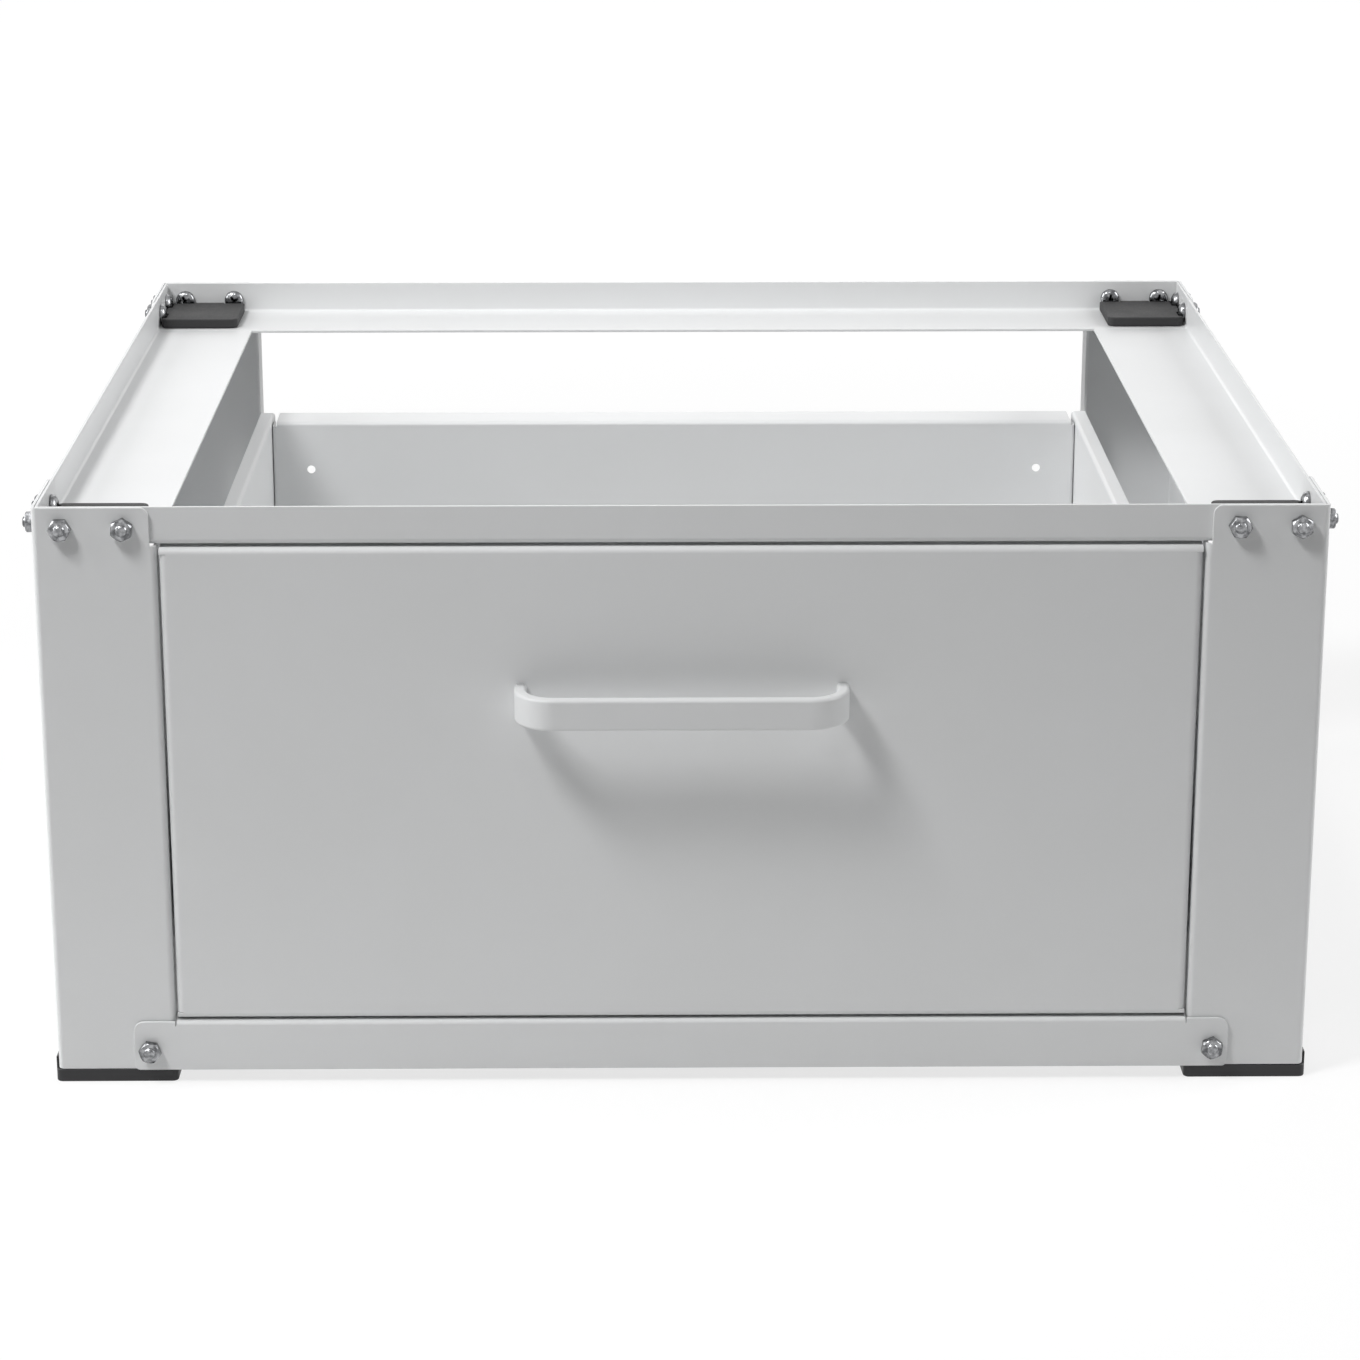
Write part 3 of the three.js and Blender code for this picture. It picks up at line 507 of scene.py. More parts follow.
bolt_inset = 14 * mm
bolt_pitch = 30 * mm
bolt_insets = {"outer": bolt_inset, "inner": bolt_inset + bolt_pitch}
bolt_hole = 3.3 * mm
tie_overlap = 21 * mm
tie_bolt_inset = 8 * mm
tie_bolt_rise = 10.5 * mm
low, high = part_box("tray_bolt_front_left_outer_end")
bolt_rise = (low.z + high.z) / 2
tie_bolt_x = opening_half + tie_overlap - tie_bolt_inset
rivet_inset = 17.5 * mm
rivet_hole = 2.3 * mm
slide_low, slide_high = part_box("slide_outer_left")
slide_rise = (slide_low.z + slide_high.z) / 2
carrier_rivet_rise = 27.5 * mm


def from_side(side, inset):
    """The x of a place so far in from the posts' outer faces."""
    return side * (outer_side - inset)


def from_end(end, inset):
    """The y of a place so far in from the posts' front or back faces."""
    return middle_y + end * (outer_end - inset)


def outer_and_inner(low, high, way):
    """The ends of a box along one axis, the one further from the pedestal's middle first."""
    return (high, low) if way > 0 else (low, high)


for name, side, end in corners:
    half = post_sheet / 2
    side_x = from_side(side, half)
    end_y = from_end(end, half)
    return_x = side * (opening_half + half)
    free_y = from_end(end, post_flange)
    runs = fold_line([(side_x, free_y), (side_x, end_y), (return_x, end_y),
                      (return_x, from_end(end, post_return))], post_bend)
    marks = starts(runs)
    notch = tray_underside - seat
    outline = rounded([(0.0, post_foot), (marks[-1], post_foot), (marks[-1], notch),
                       (marks[3], notch), (marks[3], frame_top, post_corner),
                       (0.0, frame_top, post_corner)])
    holes = [(flat_of(runs, (side_x, from_end(end, inset))), bolt_rise, bolt_hole)
             for inset in bolt_insets.values()]
    holes += [(flat_of(runs, (from_side(side, inset), end_y)), bolt_rise, bolt_hole)
              for inset in bolt_insets.values()]
    holes.append((flat_of(runs, (side * tie_bolt_x, end_y)), post_foot + tie_bolt_rise, bolt_hole))
    holes += [(flat_of(runs, (return_x, from_end(end, rivet_inset))),
               slide_rise + rise, rivet_hole) for rise in (-carrier_rivet_rise, carrier_rivet_rise)]
    flat = cut_sheet(outline, [round_hole(*hole) for hole in holes], post_sheet)
    post = pressed(flat, lambda x, y, z: (x, y, z), runs)
    piece(f"corner_post_{name}", post, powder_coat, "frame", "powder_coat", f"post_{name}")

# ---------------------------------------------------------------- feet
# A moulded cap of black plastic is pushed up over the foot of each post: a thick plate,
# a low wall outside the side flange and a rib inside both flanges.

foot_wall = 1 * mm
foot_wall_height = 6 * mm
foot_wall_start = 3 * mm    # from the foot's outer end
foot_wall_rise = 1 * mm     # of the wall's own foot over the floor
foot_rib = 2.5 * mm
foot_rib_height = 9 * mm
foot_rib_root = 1 * mm      # how deep the rib stands in the plate
foot_corner = 3 * mm
foot_edge, wall_edge, rib_edge = 0.7 * mm, 0.3 * mm, 0.4 * mm


def boolean(body, tools, operation):
    """Joins meshes in the making to the first one, or cuts them from it."""
    things = []
    for i, made in enumerate((body, *tools)):
        mesh = bpy.data.meshes.new(f"working_{i}")
        made.to_mesh(mesh)
        made.free()
        things.append(bpy.data.objects.new(f"working_{i}", mesh))
        bpy.context.scene.collection.objects.link(things[-1])
    for tool in things[1:]:
        step = things[0].modifiers.new("step", "BOOLEAN")
        step.operation = operation
        step.solver = "EXACT"
        step.object = tool
    depsgraph = bpy.context.evaluated_depsgraph_get()
    done = bmesh.new()
    done.from_object(things[0], depsgraph)
    for thing in things:
        bpy.data.objects.remove(thing)
    bmesh.ops.remove_doubles(done, verts=done.verts, dist=1e-6)
    return done


def lifted(made, height):
    bmesh.ops.translate(made, verts=made.verts, vec=(0.0, 0.0, height))
    return made


# Mould grain: close, shallow pits with a slow change of gloss
mould_grain, given, out = textured("mould_grain", {"Grain": 0.6 * mm})
pits = place(mould_grain, "ShaderNodeTexVoronoi", {"Vector": given["Place"],
             "Scale": per(mould_grain, given["Grain"])}, feature="SMOOTH_F1")
cloud = noise(mould_grain, given["Place"], scale=40.0, detail=4.0)
mould_grain.links.new(pits.outputs["Distance"], out.inputs["Height"])
mould_grain.links.new(cloud, out.inputs["Cloud"])


def moulded(name, dark, light, dust_colour, dust, rough, grain, depth):
    """A moulded finish: two close tones, mould grain, and a little dust on top."""
    material, tree, shader, spot = new_finish(name, Metallic=0.0, IOR=1.48)
    skin = place(tree, "ShaderNodeGroup", {"Place": spot, "Grain": grain},
                 node_tree=mould_grain).outputs
    colour = blended(tree, skin["Cloud"], shade(dark), shade(light))
    tree.links.new(dusty(tree, spot, colour, dust_colour, dust), shader.inputs["Base Color"])
    grained(tree, shader, skin, rough, depth)
    return material


foot_plastic = moulded("foot_plastic", "1f1f21", "272729", "8d8a86", dust=0.16,
                       rough=(0.42, 0.55), grain=0.7 * mm, depth=0.02 * mm)

for name, side, end in corners:
    low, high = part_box(f"foot_{name}")
    plate_height = post_foot - seat
    outer_x, inner_x = outer_and_inner(low.x, high.x, side)
    outer_y, inner_y = outer_and_inner(low.y, high.y, end)
    plate = cut_sheet(rounded([(outer_x, outer_y, post_fold + post_sheet),
                               (inner_x, outer_y, foot_corner), (inner_x, inner_y, foot_corner),
                               (outer_x, inner_y, foot_corner)]), [], plate_height, foot_edge)
    lifted(plate, plate_height / 2)
    wall_height = plate_height + foot_wall_height - foot_wall_rise
    wall_start = outer_y - end * foot_wall_start
    wall = cut_sheet(rounded([(outer_x, wall_start), (outer_x, inner_y + end * foot_corner),
                              (outer_x - side * foot_wall, inner_y + end * foot_corner),
                              (outer_x - side * foot_wall, wall_start)]),
                     [], wall_height, wall_edge)
    lifted(wall, foot_wall_rise + wall_height / 2)
    rib_x = side * (outer_side - post_sheet - seat)
    rib_y = middle_y + end * (outer_end - post_sheet - seat)
    rib_end = side * (opening_half + post_sheet + post_fold + seat)
    rib_height = foot_rib_height + foot_rib_root
    rib = cut_sheet(rounded([(rib_x, inner_y + end * foot_corner), (rib_x, rib_y, post_fold),
                             (rib_end, rib_y), (rib_end, rib_y - end * foot_rib),
                             (rib_x - side * foot_rib, rib_y - end * foot_rib),
                             (rib_x - side * foot_rib, inner_y + end * foot_corner)]),
                    [], rib_height, rib_edge)
    lifted(rib, plate_height - foot_rib_root + rib_height / 2)
    foot = boolean(plate, [wall, rib], "UNION")
    piece(f"moulded_foot_{name}", foot, foot_plastic, "frame", "foot_plastic", f"foot_{name}")

# ---------------------------------------------------------------- washer tray
# Four L rails make the tray that the machine stands in. The front and back ones run over
# the full width and turn up at both ends; the side ones are butted between them.

tray_sheet = 1.5 * mm
tray_bend = 2.25 * mm
shelf_level = tray_underside + tray_sheet / 2

for end_name, end in ends.items():
    low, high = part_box(f"tray_rail_{end_name}")
    half = tray_sheet / 2
    lip_y, shelf_y = outer_and_inner(low.y, high.y, end)
    lip_y -= end * half
    section = [(lip_y, frame_top), (lip_y, shelf_level), (shelf_y, shelf_level)]
    across = fold_line(section if end < 0 else section[::-1], tray_bend)
    along = fold_line([(low.x + half, frame_top), (low.x + half, shelf_level),
                       (high.x - half, shelf_level), (high.x - half, frame_top)], tray_bend)
    marks, spread = starts(across), starts(along)
    # the base of the blank is its shelf; the lip runs on past the folds at both ends
    shelf_free, shelf_bend = (marks[3], marks[2]) if end < 0 else (marks[0], marks[1])
    lip_top = marks[0] if end < 0 else marks[3]
    ear = tray_bend + half - seat
    past = relief if end < 0 else -relief
    left_x, right_x = spread[2] - ear, spread[3] + ear
    outline = rounded([(lip_top, left_x), (shelf_bend - past, left_x),
                       (shelf_bend - past, spread[2]), (shelf_bend + past, spread[2]),
                       (shelf_bend + past, 0.0), (shelf_free, 0.0),
                       (shelf_free, spread[5]), (shelf_bend + past, spread[5]),
                       (shelf_bend + past, spread[3]), (shelf_bend - past, spread[3]),
                       (shelf_bend - past, right_x), (lip_top, right_x)])
    holes = []
    for side in sides.values():
        for inset in bolt_insets.values():
            x = from_side(side, inset)
            y = from_end(end, inset)
            holes.append((flat_of(across, (lip_y, bolt_rise)), flat_of(along, (x, shelf_level))))
            lip_x = (high.x - half) if side > 0 else (low.x + half)
            holes.append((flat_of(across, (y, shelf_level)), flat_of(along, (lip_x, bolt_rise))))
    flat = cut_sheet(outline, [round_hole(a, b, bolt_hole) for a, b in holes], tray_sheet)
    rail = pressed(flat, lambda y, z, x: (x, y, z), across, along)
    piece(f"tray_{end_name}_rail", rail, powder_coat, "frame", "powder_coat",
          f"tray_rail_{end_name}")

for side_name, side in sides.items():
    low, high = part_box(f"tray_rail_{side_name}")
    lip_x, shelf_x = outer_and_inner(low.x, high.x, side)
    lip_x -= side * tray_sheet / 2
    runs = fold_line([(lip_x, frame_top), (lip_x, shelf_level), (shelf_x, shelf_level)], tray_bend)
    flat = cut_sheet(oblong(0.0, low.y, starts(runs)[-1], high.y), [], tray_sheet)
    rail = pressed(flat, lambda x, z, y: (x, y, z), runs)
    piece(f"tray_{side_name}_rail", rail, powder_coat, "frame", "powder_coat",
          f"tray_rail_{side_name}")

# ---------------------------------------------------------------- rubber pads
# A moulded rubber pad lies in each corner of the tray, under one foot of the machine. Its
# two outer edges are cut away round the bolt heads.

pad_corner = 4 * mm
pad_edge = 0.8 * mm
head_room = 6.4 * mm
head_reach = 7.7 * mm       # from a post's face to the end of the room for a head

pad_rubber = moulded("pad_rubber", "242425", "2e2e2f", "9a9894", dust=0.22,
                     rough=(0.62, 0.78), grain=0.9 * mm, depth=0.05 * mm)


def plug(start, finish, radius, steps=24):
    """A round plug between two points, to cut with."""
    run = Vector(finish) - Vector(start)
    made = bmesh.new()
    bmesh.ops.create_cone(made, cap_ends=True, segments=steps, radius1=radius, radius2=radius,
                          depth=run.length)
    turn = run.to_track_quat("Z", "Y").to_matrix().to_4x4()
    bmesh.ops.transform(made, matrix=turn, verts=made.verts)
    bmesh.ops.translate(made, verts=made.verts, vec=(Vector(start) + Vector(finish)) / 2)
    return made


for name, side, end in corners:
    low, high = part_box(f"corner_pad_{name}")
    pad = cut_sheet(oblong(low.x, low.y, high.x, high.y, pad_corner), [], high.z - low.z,
                    pad_edge)
    lifted(pad, (low.z + high.z) / 2)
    rooms = []
    for inset in bolt_insets.values():
        x, y = from_side(side, inset), from_end(end, inset)
        edge_x, edge_y = side * outer_side, middle_y + end * outer_end
        rooms.append(plug((x, edge_y, bolt_rise), (x, edge_y - end * head_reach, bolt_rise),
                          head_room))
        rooms.append(plug((edge_x, y, bolt_rise), (edge_x - side * head_reach, y, bolt_rise),
                          head_room))
    piece(f"rubber_pad_{name}", boolean(pad, rooms, "DIFFERENCE"), pad_rubber, "frame",
          "pad_rubber", f"corner_pad_{name}")

# ---------------------------------------------------------------- tie rails
# A flat strip ties the posts' feet together at the front and at the back, on their outer
# faces. Between the posts its top edge is folded back to stiffen it.

tie_sheet = 1.5 * mm
tie_bend = 1.25 * mm
tie_top_corner = 5 * mm
tie_bottom_corner = 2.5 * mm
tie_slit = 0.6 * mm         # cut that lets the flange fold beside the post

for end_name, end in ends.items():
    low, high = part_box(f"tie_rail_{end_name}")
    face_y, tip_y = outer_and_inner(low.y, high.y, end)
    face_y -= end * tie_sheet / 2
    top = high.z - tie_sheet / 2
    runs = fold_line([(low.z, face_y), (top, face_y), (top, tip_y)], tie_bend)
    marks = starts(runs)
    reach = high.x
    flange = opening_half - 2 * seat
    slit = flange + tie_slit
    face_top = high.z - low.z
    cut = marks[1] - relief
    outline = rounded([(0.0, -reach, tie_bottom_corner), (0.0, reach, tie_bottom_corner),
                       (face_top, reach, tie_top_corner), (face_top, slit), (cut, slit),
                       (cut, flange), (marks[-1], flange), (marks[-1], -flange),
                       (cut, -flange), (cut, -slit), (face_top, -slit),
                       (face_top, -reach, tie_top_corner)])
    holes = [round_hole(tie_bolt_rise, side * tie_bolt_x, bolt_hole) for side in sides.values()]
    tie = pressed(cut_sheet(outline, holes, tie_sheet), lambda z, y, x: (x, y, z), runs, base=0,
                  folds=lambda a, x: abs(x) < flange + tie_slit / 2)
    piece(f"{end_name}_tie_rail", tie, powder_coat, "frame", "powder_coat", f"tie_rail_{end_name}")

# ---------------------------------------------------------------- frame bolts
# M6 pan-head bolts join the sheets, two through each outer face of a corner and one
# through each end of a tie rail. Their crossed heads are inside and the nuts outside;
# all are bright nickel plated, with their tones painted darker as painted shade for
# the dark surroundings that such plating reflects.


def shaped(name, *sizes):
    """An empty Geometry Nodes group with named sizes: the tree, its inputs and its output."""
    return effect(name, dict.fromkeys(sizes), {"Geometry": None}, "GeometryNodeTree")


def part_of(tree, group, sizes):
    """A smaller group's shape, at named sizes."""
    return place(tree, "GeometryNodeGroup", sizes, node_tree=group).outputs[0]


def gathered(tree, kind, socket, *parts, **settings):
    """A node that takes several shapes at one socket."""
    node = place(tree, kind, **settings)
    for part in parts:
        tree.links.new(part, node.inputs[socket])
    return node.outputs[0]


def moved_up(tree, body, height):
    """A shape moved along z."""
    shift = place(tree, "ShaderNodeCombineXYZ", {"Z": height})
    return place(tree, "GeometryNodeTransform", {"Geometry": body,
                 "Translation": shift.outputs[0]}).outputs[0]


def column(tree, radius, height, base, sides_round, levels=1):
    """A round bar from `base` up to `base` plus `height`."""
    bar = place(tree, "GeometryNodeMeshCylinder", {"Vertices": sides_round, "Side Segments": levels,
                "Radius": radius, "Depth": height})
    middle = maths(tree, "ADD", base, maths(tree, "MULTIPLY", height, 0.5))
    return moved_up(tree, bar.outputs["Mesh"], middle)


def narrowed(tree, body, factor_of_height):
    """A bar whose radius at each height is its own times a factor."""
    position = place(tree, "GeometryNodeInputPosition").outputs[0]
    spot = place(tree, "ShaderNodeSeparateXYZ", {0: position}).outputs
    factor = factor_of_height(spot["Z"])
    moved = place(tree, "ShaderNodeCombineXYZ", {"X": maths(tree, "MULTIPLY", spot["X"], factor),
                  "Y": maths(tree, "MULTIPLY", spot["Y"], factor), "Z": spot["Z"]})
    return place(tree, "GeometryNodeSetPosition", {"Geometry": body,
                 "Position": moved.outputs[0]}).outputs[0]


def creased(tree, body, degrees=32):
    """Smooth shading that stops at edges sharper than an angle."""
    soft = place(tree, "GeometryNodeSetShadeSmooth", {"Geometry": body, "Shade Smooth": True})
    angle = tree.nodes.new("GeometryNodeInputMeshEdgeAngle").outputs[0]
    sharp = place(tree, "FunctionNodeCompare", {0: angle, 1: math.radians(degrees)},
                  data_type="FLOAT", operation="GREATER_THAN")
    return place(tree, "GeometryNodeSetShadeSmooth", {"Geometry": soft.outputs[0],
                 "Selection": sharp.outputs[0], "Shade Smooth": False}, domain="EDGE").outputs[0]


# A domed head on z = 0: an ellipse cut off flat at the crown, on a short straight rim
domed_head, given, out = shaped("domed_head", "Radius", "Height", "Crown")


def dome_factor(z):
    rim = 0.22              # share of the height that is straight
    share = ranged(domed_head, z, 0.0, given["Crown"],
                   maths(domed_head, "MULTIPLY", given["Height"], rim), given["Height"])
    rest = maths(domed_head, "SUBTRACT", 1.0, maths(domed_head, "MULTIPLY", share, share))
    return place(domed_head, "ShaderNodeMath", {0: rest}, operation="SQRT").outputs[0]


bar = column(domed_head, given["Radius"], given["Height"], 0.0, 32, 12)
domed_head.links.new(narrowed(domed_head, bar, dome_factor), out.inputs[0])

# The crossed recess of a head, to be cut out of it
cross_slot, given, out = shaped("cross_slot", "Reach", "Width", "Top", "Depth")
arms = []
for long_way, short_way in (("X", "Y"), ("Y", "X")):
    size = {long_way: given["Reach"], short_way: given["Width"], "Z": given["Depth"]}
    arm = place(cross_slot, "GeometryNodeMeshCube",
                {"Size": place(cross_slot, "ShaderNodeCombineXYZ", size).outputs[0]})
    arms.append(moved_up(cross_slot, arm.outputs[0], given["Top"]))
both_arms = gathered(cross_slot, "GeometryNodeMeshBoolean", 1, *arms, operation="UNION")
cross_slot.links.new(both_arms, out.inputs[0])

# A hexagon nut from z = 0 down: what a hexagon and a round blank with turned corners share
hexagon_nut, given, out = shaped("hexagon_nut", "Flats", "Height")
prism_past = 0.1            # how far the hexagon runs past each end, in heights of the nut
blank_past = 1.01           # the blank's radius over the corners' radius
turned_from, turned_depth = 0.7, 0.17   # where the turning starts, and how deep it ends
corner_radius = maths(hexagon_nut, "DIVIDE", given["Flats"], math.sqrt(3))
foot_of_nut = maths(hexagon_nut, "MULTIPLY", given["Height"], -1.0)
prism = column(hexagon_nut, corner_radius,
               maths(hexagon_nut, "MULTIPLY", given["Height"], 1 + 2 * prism_past),
               maths(hexagon_nut, "MULTIPLY", given["Height"], -1 - prism_past), 6)
round_blank = column(hexagon_nut, maths(hexagon_nut, "MULTIPLY", corner_radius, blank_past),
                     given["Height"], foot_of_nut, 48, 10)


def turned_corner(z):
    start = maths(hexagon_nut, "MULTIPLY", foot_of_nut, turned_from)
    depth = ranged(hexagon_nut, z, 0.0, 1.0, start, foot_of_nut)
    return maths(hexagon_nut, "SUBTRACT", 1.0, maths(hexagon_nut, "MULTIPLY", depth, turned_depth))


turned_blank = narrowed(hexagon_nut, round_blank, turned_corner)
turned_nut = gathered(hexagon_nut, "GeometryNodeMeshBoolean", 1, prism, turned_blank,
                      operation="INTERSECT")
hexagon_nut.links.new(turned_nut, out.inputs[0])


def on_points(tree, given, body):
    """A copy of a body on each point, its z axis along the point's `facing`, spun by `spin`."""
    facing = place(tree, "GeometryNodeInputNamedAttribute", {"Name": "facing"},
                   data_type="FLOAT_VECTOR").outputs[0]
    spin = place(tree, "GeometryNodeInputNamedAttribute", {"Name": "spin"},
                 data_type="FLOAT").outputs[0]
    aim = place(tree, "FunctionNodeAlignRotationToVector", {"Vector": facing}, axis="Z")
    about = place(tree, "FunctionNodeAxisAngleToRotation", {"Axis": (0.0, 0.0, 1.0), "Angle": spin})
    turn = place(tree, "FunctionNodeRotateRotation", {"Rotation": aim.outputs[0],
                 "Rotate By": about.outputs[0]}, rotation_space="LOCAL")
    copies = place(tree, "GeometryNodeInstanceOnPoints", {"Points": given["Points"],
                   "Instance": body, "Rotation": turn.outputs[0]})
    real = place(tree, "GeometryNodeRealizeInstances", {"Geometry": copies.outputs[0]})
    return place(tree, "GeometryNodeSetMaterial", {"Geometry": real.outputs[0],
                 "Material": given["Finish"]}).outputs[0]


def bolt_tree(name, with_nut):
    """A crossed pan-head bolt on each point: its head stands on z = 0 and its shank runs down."""
    recess_width = 0.24     # of an arm of the cross, in reaches of it
    thread_depth, point_size = 0.28, 0.8    # in pitches, and in shanks
    nut_sizes = ["Nut Flats", "Nut Height"] if with_nut else []
    tree, given, out = shaped(name, "Points", "Head Radius", "Head Height", "Recess",
                              "Shank Radius", "Grip", "Tip", "Thread", "Finish", *nut_sizes)
    head = part_of(tree, domed_head, {"Radius": given["Head Radius"],
                                      "Height": given["Head Height"], "Crown": 0.88})
    recess = part_of(tree, cross_slot, {"Reach": given["Recess"],
                     "Width": maths(tree, "MULTIPLY", given["Recess"], recess_width),
                     "Top": given["Head Height"], "Depth": given["Head Height"]})
    crossed = place(tree, "GeometryNodeMeshBoolean", {"Mesh 1": head, "Mesh 2": recess},
                    operation="DIFFERENCE")
    grip_foot = maths(tree, "MULTIPLY", given["Grip"], -1.0)
    below = maths(tree, "ADD", given["Nut Height"], given["Tip"]) if with_nut else given["Tip"]
    foot = maths(tree, "SUBTRACT", grip_foot, below)
    tip_top = maths(tree, "ADD", foot, given["Tip"])
    plain_length = maths(tree, "MULTIPLY", tip_top, -1.0)
    plain = column(tree, given["Shank Radius"], plain_length, tip_top, 18)
    tip = column(tree, given["Shank Radius"], given["Tip"], foot, 24, 18)

    def thread(z):
        half_pitch = maths(tree, "MULTIPLY", given["Thread"], 0.5)
        wave = maths(tree, "PINGPONG", z, half_pitch)
        depth = maths(tree, "DIVIDE", wave, given["Thread"])
        root = maths(tree, "SUBTRACT", 1.0, maths(tree, "MULTIPLY", depth, thread_depth))
        point = ranged(tree, z, point_size, 1.0, foot, maths(tree, "ADD", foot, given["Thread"]))
        return maths(tree, "MULTIPLY", root, point)

    parts = [crossed.outputs[0], plain, narrowed(tree, tip, thread)]
    if with_nut:
        nut = part_of(tree, hexagon_nut, {"Flats": given["Nut Flats"],
                                          "Height": given["Nut Height"]})
        parts.append(moved_up(tree, nut, grip_foot))
    whole = gathered(tree, "GeometryNodeJoinGeometry", 0, *parts)
    tree.links.new(on_points(tree, given, creased(tree, whole)), out.inputs[0])
    return tree


bolt_and_nut = bolt_tree("bolt_and_nut", True)


def fastened(name, spots, tree, sizes, finish, body, slot, *nodes):
    """Fasteners on a list of (place, facing), made by a tree with named sizes."""
    mesh = bpy.data.meshes.new(name)
    mesh.from_pydata([at for at, _ in spots], [], [])
    facing = mesh.attributes.new("facing", "FLOAT_VECTOR", "POINT")
    facing.data.foreach_set("vector", [value for _, way in spots for value in way])
    spin = mesh.attributes.new("spin", "FLOAT", "POINT")
    golden = 2.39996        # radians from one fastener to the next, so that no two look alike
    spin.data.foreach_set("value", [golden * i for i in range(len(spots))])
    thing = bpy.data.objects.new(name, mesh)
    ready(thing, body, nodes)
    maker = thing.modifiers.new("fasteners", "NODES")
    maker.node_group = tree
    for item in tree.interface.items_tree:
        if item.in_out == "INPUT" and item.name in sizes:
            maker[item.identifier] = sizes[item.name]
        if item.in_out == "INPUT" and item.name == "Finish":
            maker[item.identifier] = finish
    depsgraph = bpy.context.evaluated_depsgraph_get()
    solid = bpy.data.meshes.new_from_object(thing.evaluated_get(depsgraph))
    thing.modifiers.clear()
    thing.data = solid


# Plated metal: faint drawn lines, cloudy plating and small pits
plated_metal, given, out = textured("plated_metal", {"Grain": 0.4 * mm, "Cloud": 3 * mm})
drawn = noise(plated_metal, given["Place"], per(plated_metal, given["Grain"]), detail=5.0,
              roughness=0.65)
plating = noise(plated_metal, given["Place"], per(plated_metal, given["Cloud"]), detail=3.0)
plated_metal.links.new(drawn, out.inputs["Height"])
plated_metal.links.new(plating, out.inputs["Cloud"])


def plated(name, dark, light, rough, grain, cloud, depth, metallic=1.0):
    """A plated metal finish between two tones."""
    material, tree, shader, spot = new_finish(name, Metallic=metallic)
    skin = place(tree, "ShaderNodeGroup", {"Place": spot, "Grain": grain, "Cloud": cloud},
                 node_tree=plated_metal).outputs
    share = ranged(tree, skin["Cloud"], 0.0, 1.0, start=0.35, end=0.65)
    tree.links.new(blended(tree, share, shade(dark), shade(light)), shader.inputs["Base Color"])
    grained(tree, shader, skin, rough, depth)
    return material


# Painted shade: both tones are set darker than bright nickel, to stand in for dark surroundings in
# the bolts' reflections.
bolt_chrome = plated("bolt_chrome", "5e5f61", "a4a5a7", rough=(0.13, 0.22), grain=0.5 * mm,
                     cloud=2.5 * mm, depth=0.006 * mm)

tray_head_inset, tie_head_inset = 3.6 * mm, 1.8 * mm    # from a post's outer face to the head
frame_bolt = {"Head Radius": 5.8 * mm, "Head Height": 3.5 * mm, "Recess": 6.4 * mm,
              "Shank Radius": 3 * mm, "Grip": 3.9 * mm, "Nut Flats": 10 * mm,
              "Nut Height": 4 * mm, "Tip": 1.6 * mm, "Thread": 1.0 * mm}

bolt_spots = []
bolt_nodes = []
for name, side, end in corners:
    for rank, inset in bolt_insets.items():
        bolt_spots.append(((from_side(side, inset), from_end(end, tray_head_inset), bolt_rise),
                           (0.0, -end, 0.0)))
        bolt_nodes.append(f"tray_bolt_{name}_{rank}_end")
        bolt_spots.append(((from_side(side, tray_head_inset), from_end(end, inset), bolt_rise),
                           (-side, 0.0, 0.0)))
        bolt_nodes.append(f"tray_bolt_{name}_{rank}_side")
    bolt_spots.append(((side * tie_bolt_x, from_end(end, tie_head_inset),
                        post_foot + tie_bolt_rise), (0.0, -end, 0.0)))
    bolt_nodes.append(f"tie_bolt_{name}")
fastened("frame_bolts", bolt_spots, bolt_and_nut, frame_bolt, bolt_chrome, "frame", "bolt_chrome",
         *bolt_nodes)

# ---------------------------------------------------------------- slide carriers
# A pressed channel of zinc-plated steel runs from the front post to the back one on each
# side. Its stepped ends lie behind the posts' returns and are riveted to them.

carrier_sheet = 1.5 * mm
carrier_bend = 2.25 * mm
carrier_tab = 15 * mm
carrier_step = 3.6 * mm     # length of the slope at each end
carrier_plain = 12 * mm     # level web at each end that has no flanges
carrier_corner = 2 * mm
rivet_head = {"Head Radius": 4 * mm, "Head Height": 1.2 * mm}
rivet_tail = {"Head Radius": 3.4 * mm, "Head Height": 1.0 * mm}

zinc_plate = plated("zinc_plate", "a1a4a8", "c2c5c8", rough=(0.26, 0.42), grain=0.4 * mm,
                    cloud=7 * mm, depth=0.01 * mm)

# A rivet's domed head on each point
rivet_set, given, out = shaped("rivet_set", "Points", "Head Radius", "Head Height", "Finish")
button = part_of(rivet_set, domed_head, {"Radius": given["Head Radius"],
                                         "Height": given["Head Height"], "Crown": 0.94})
rivet_set.links.new(on_points(rivet_set, given, creased(rivet_set, button)), out.inputs[0])

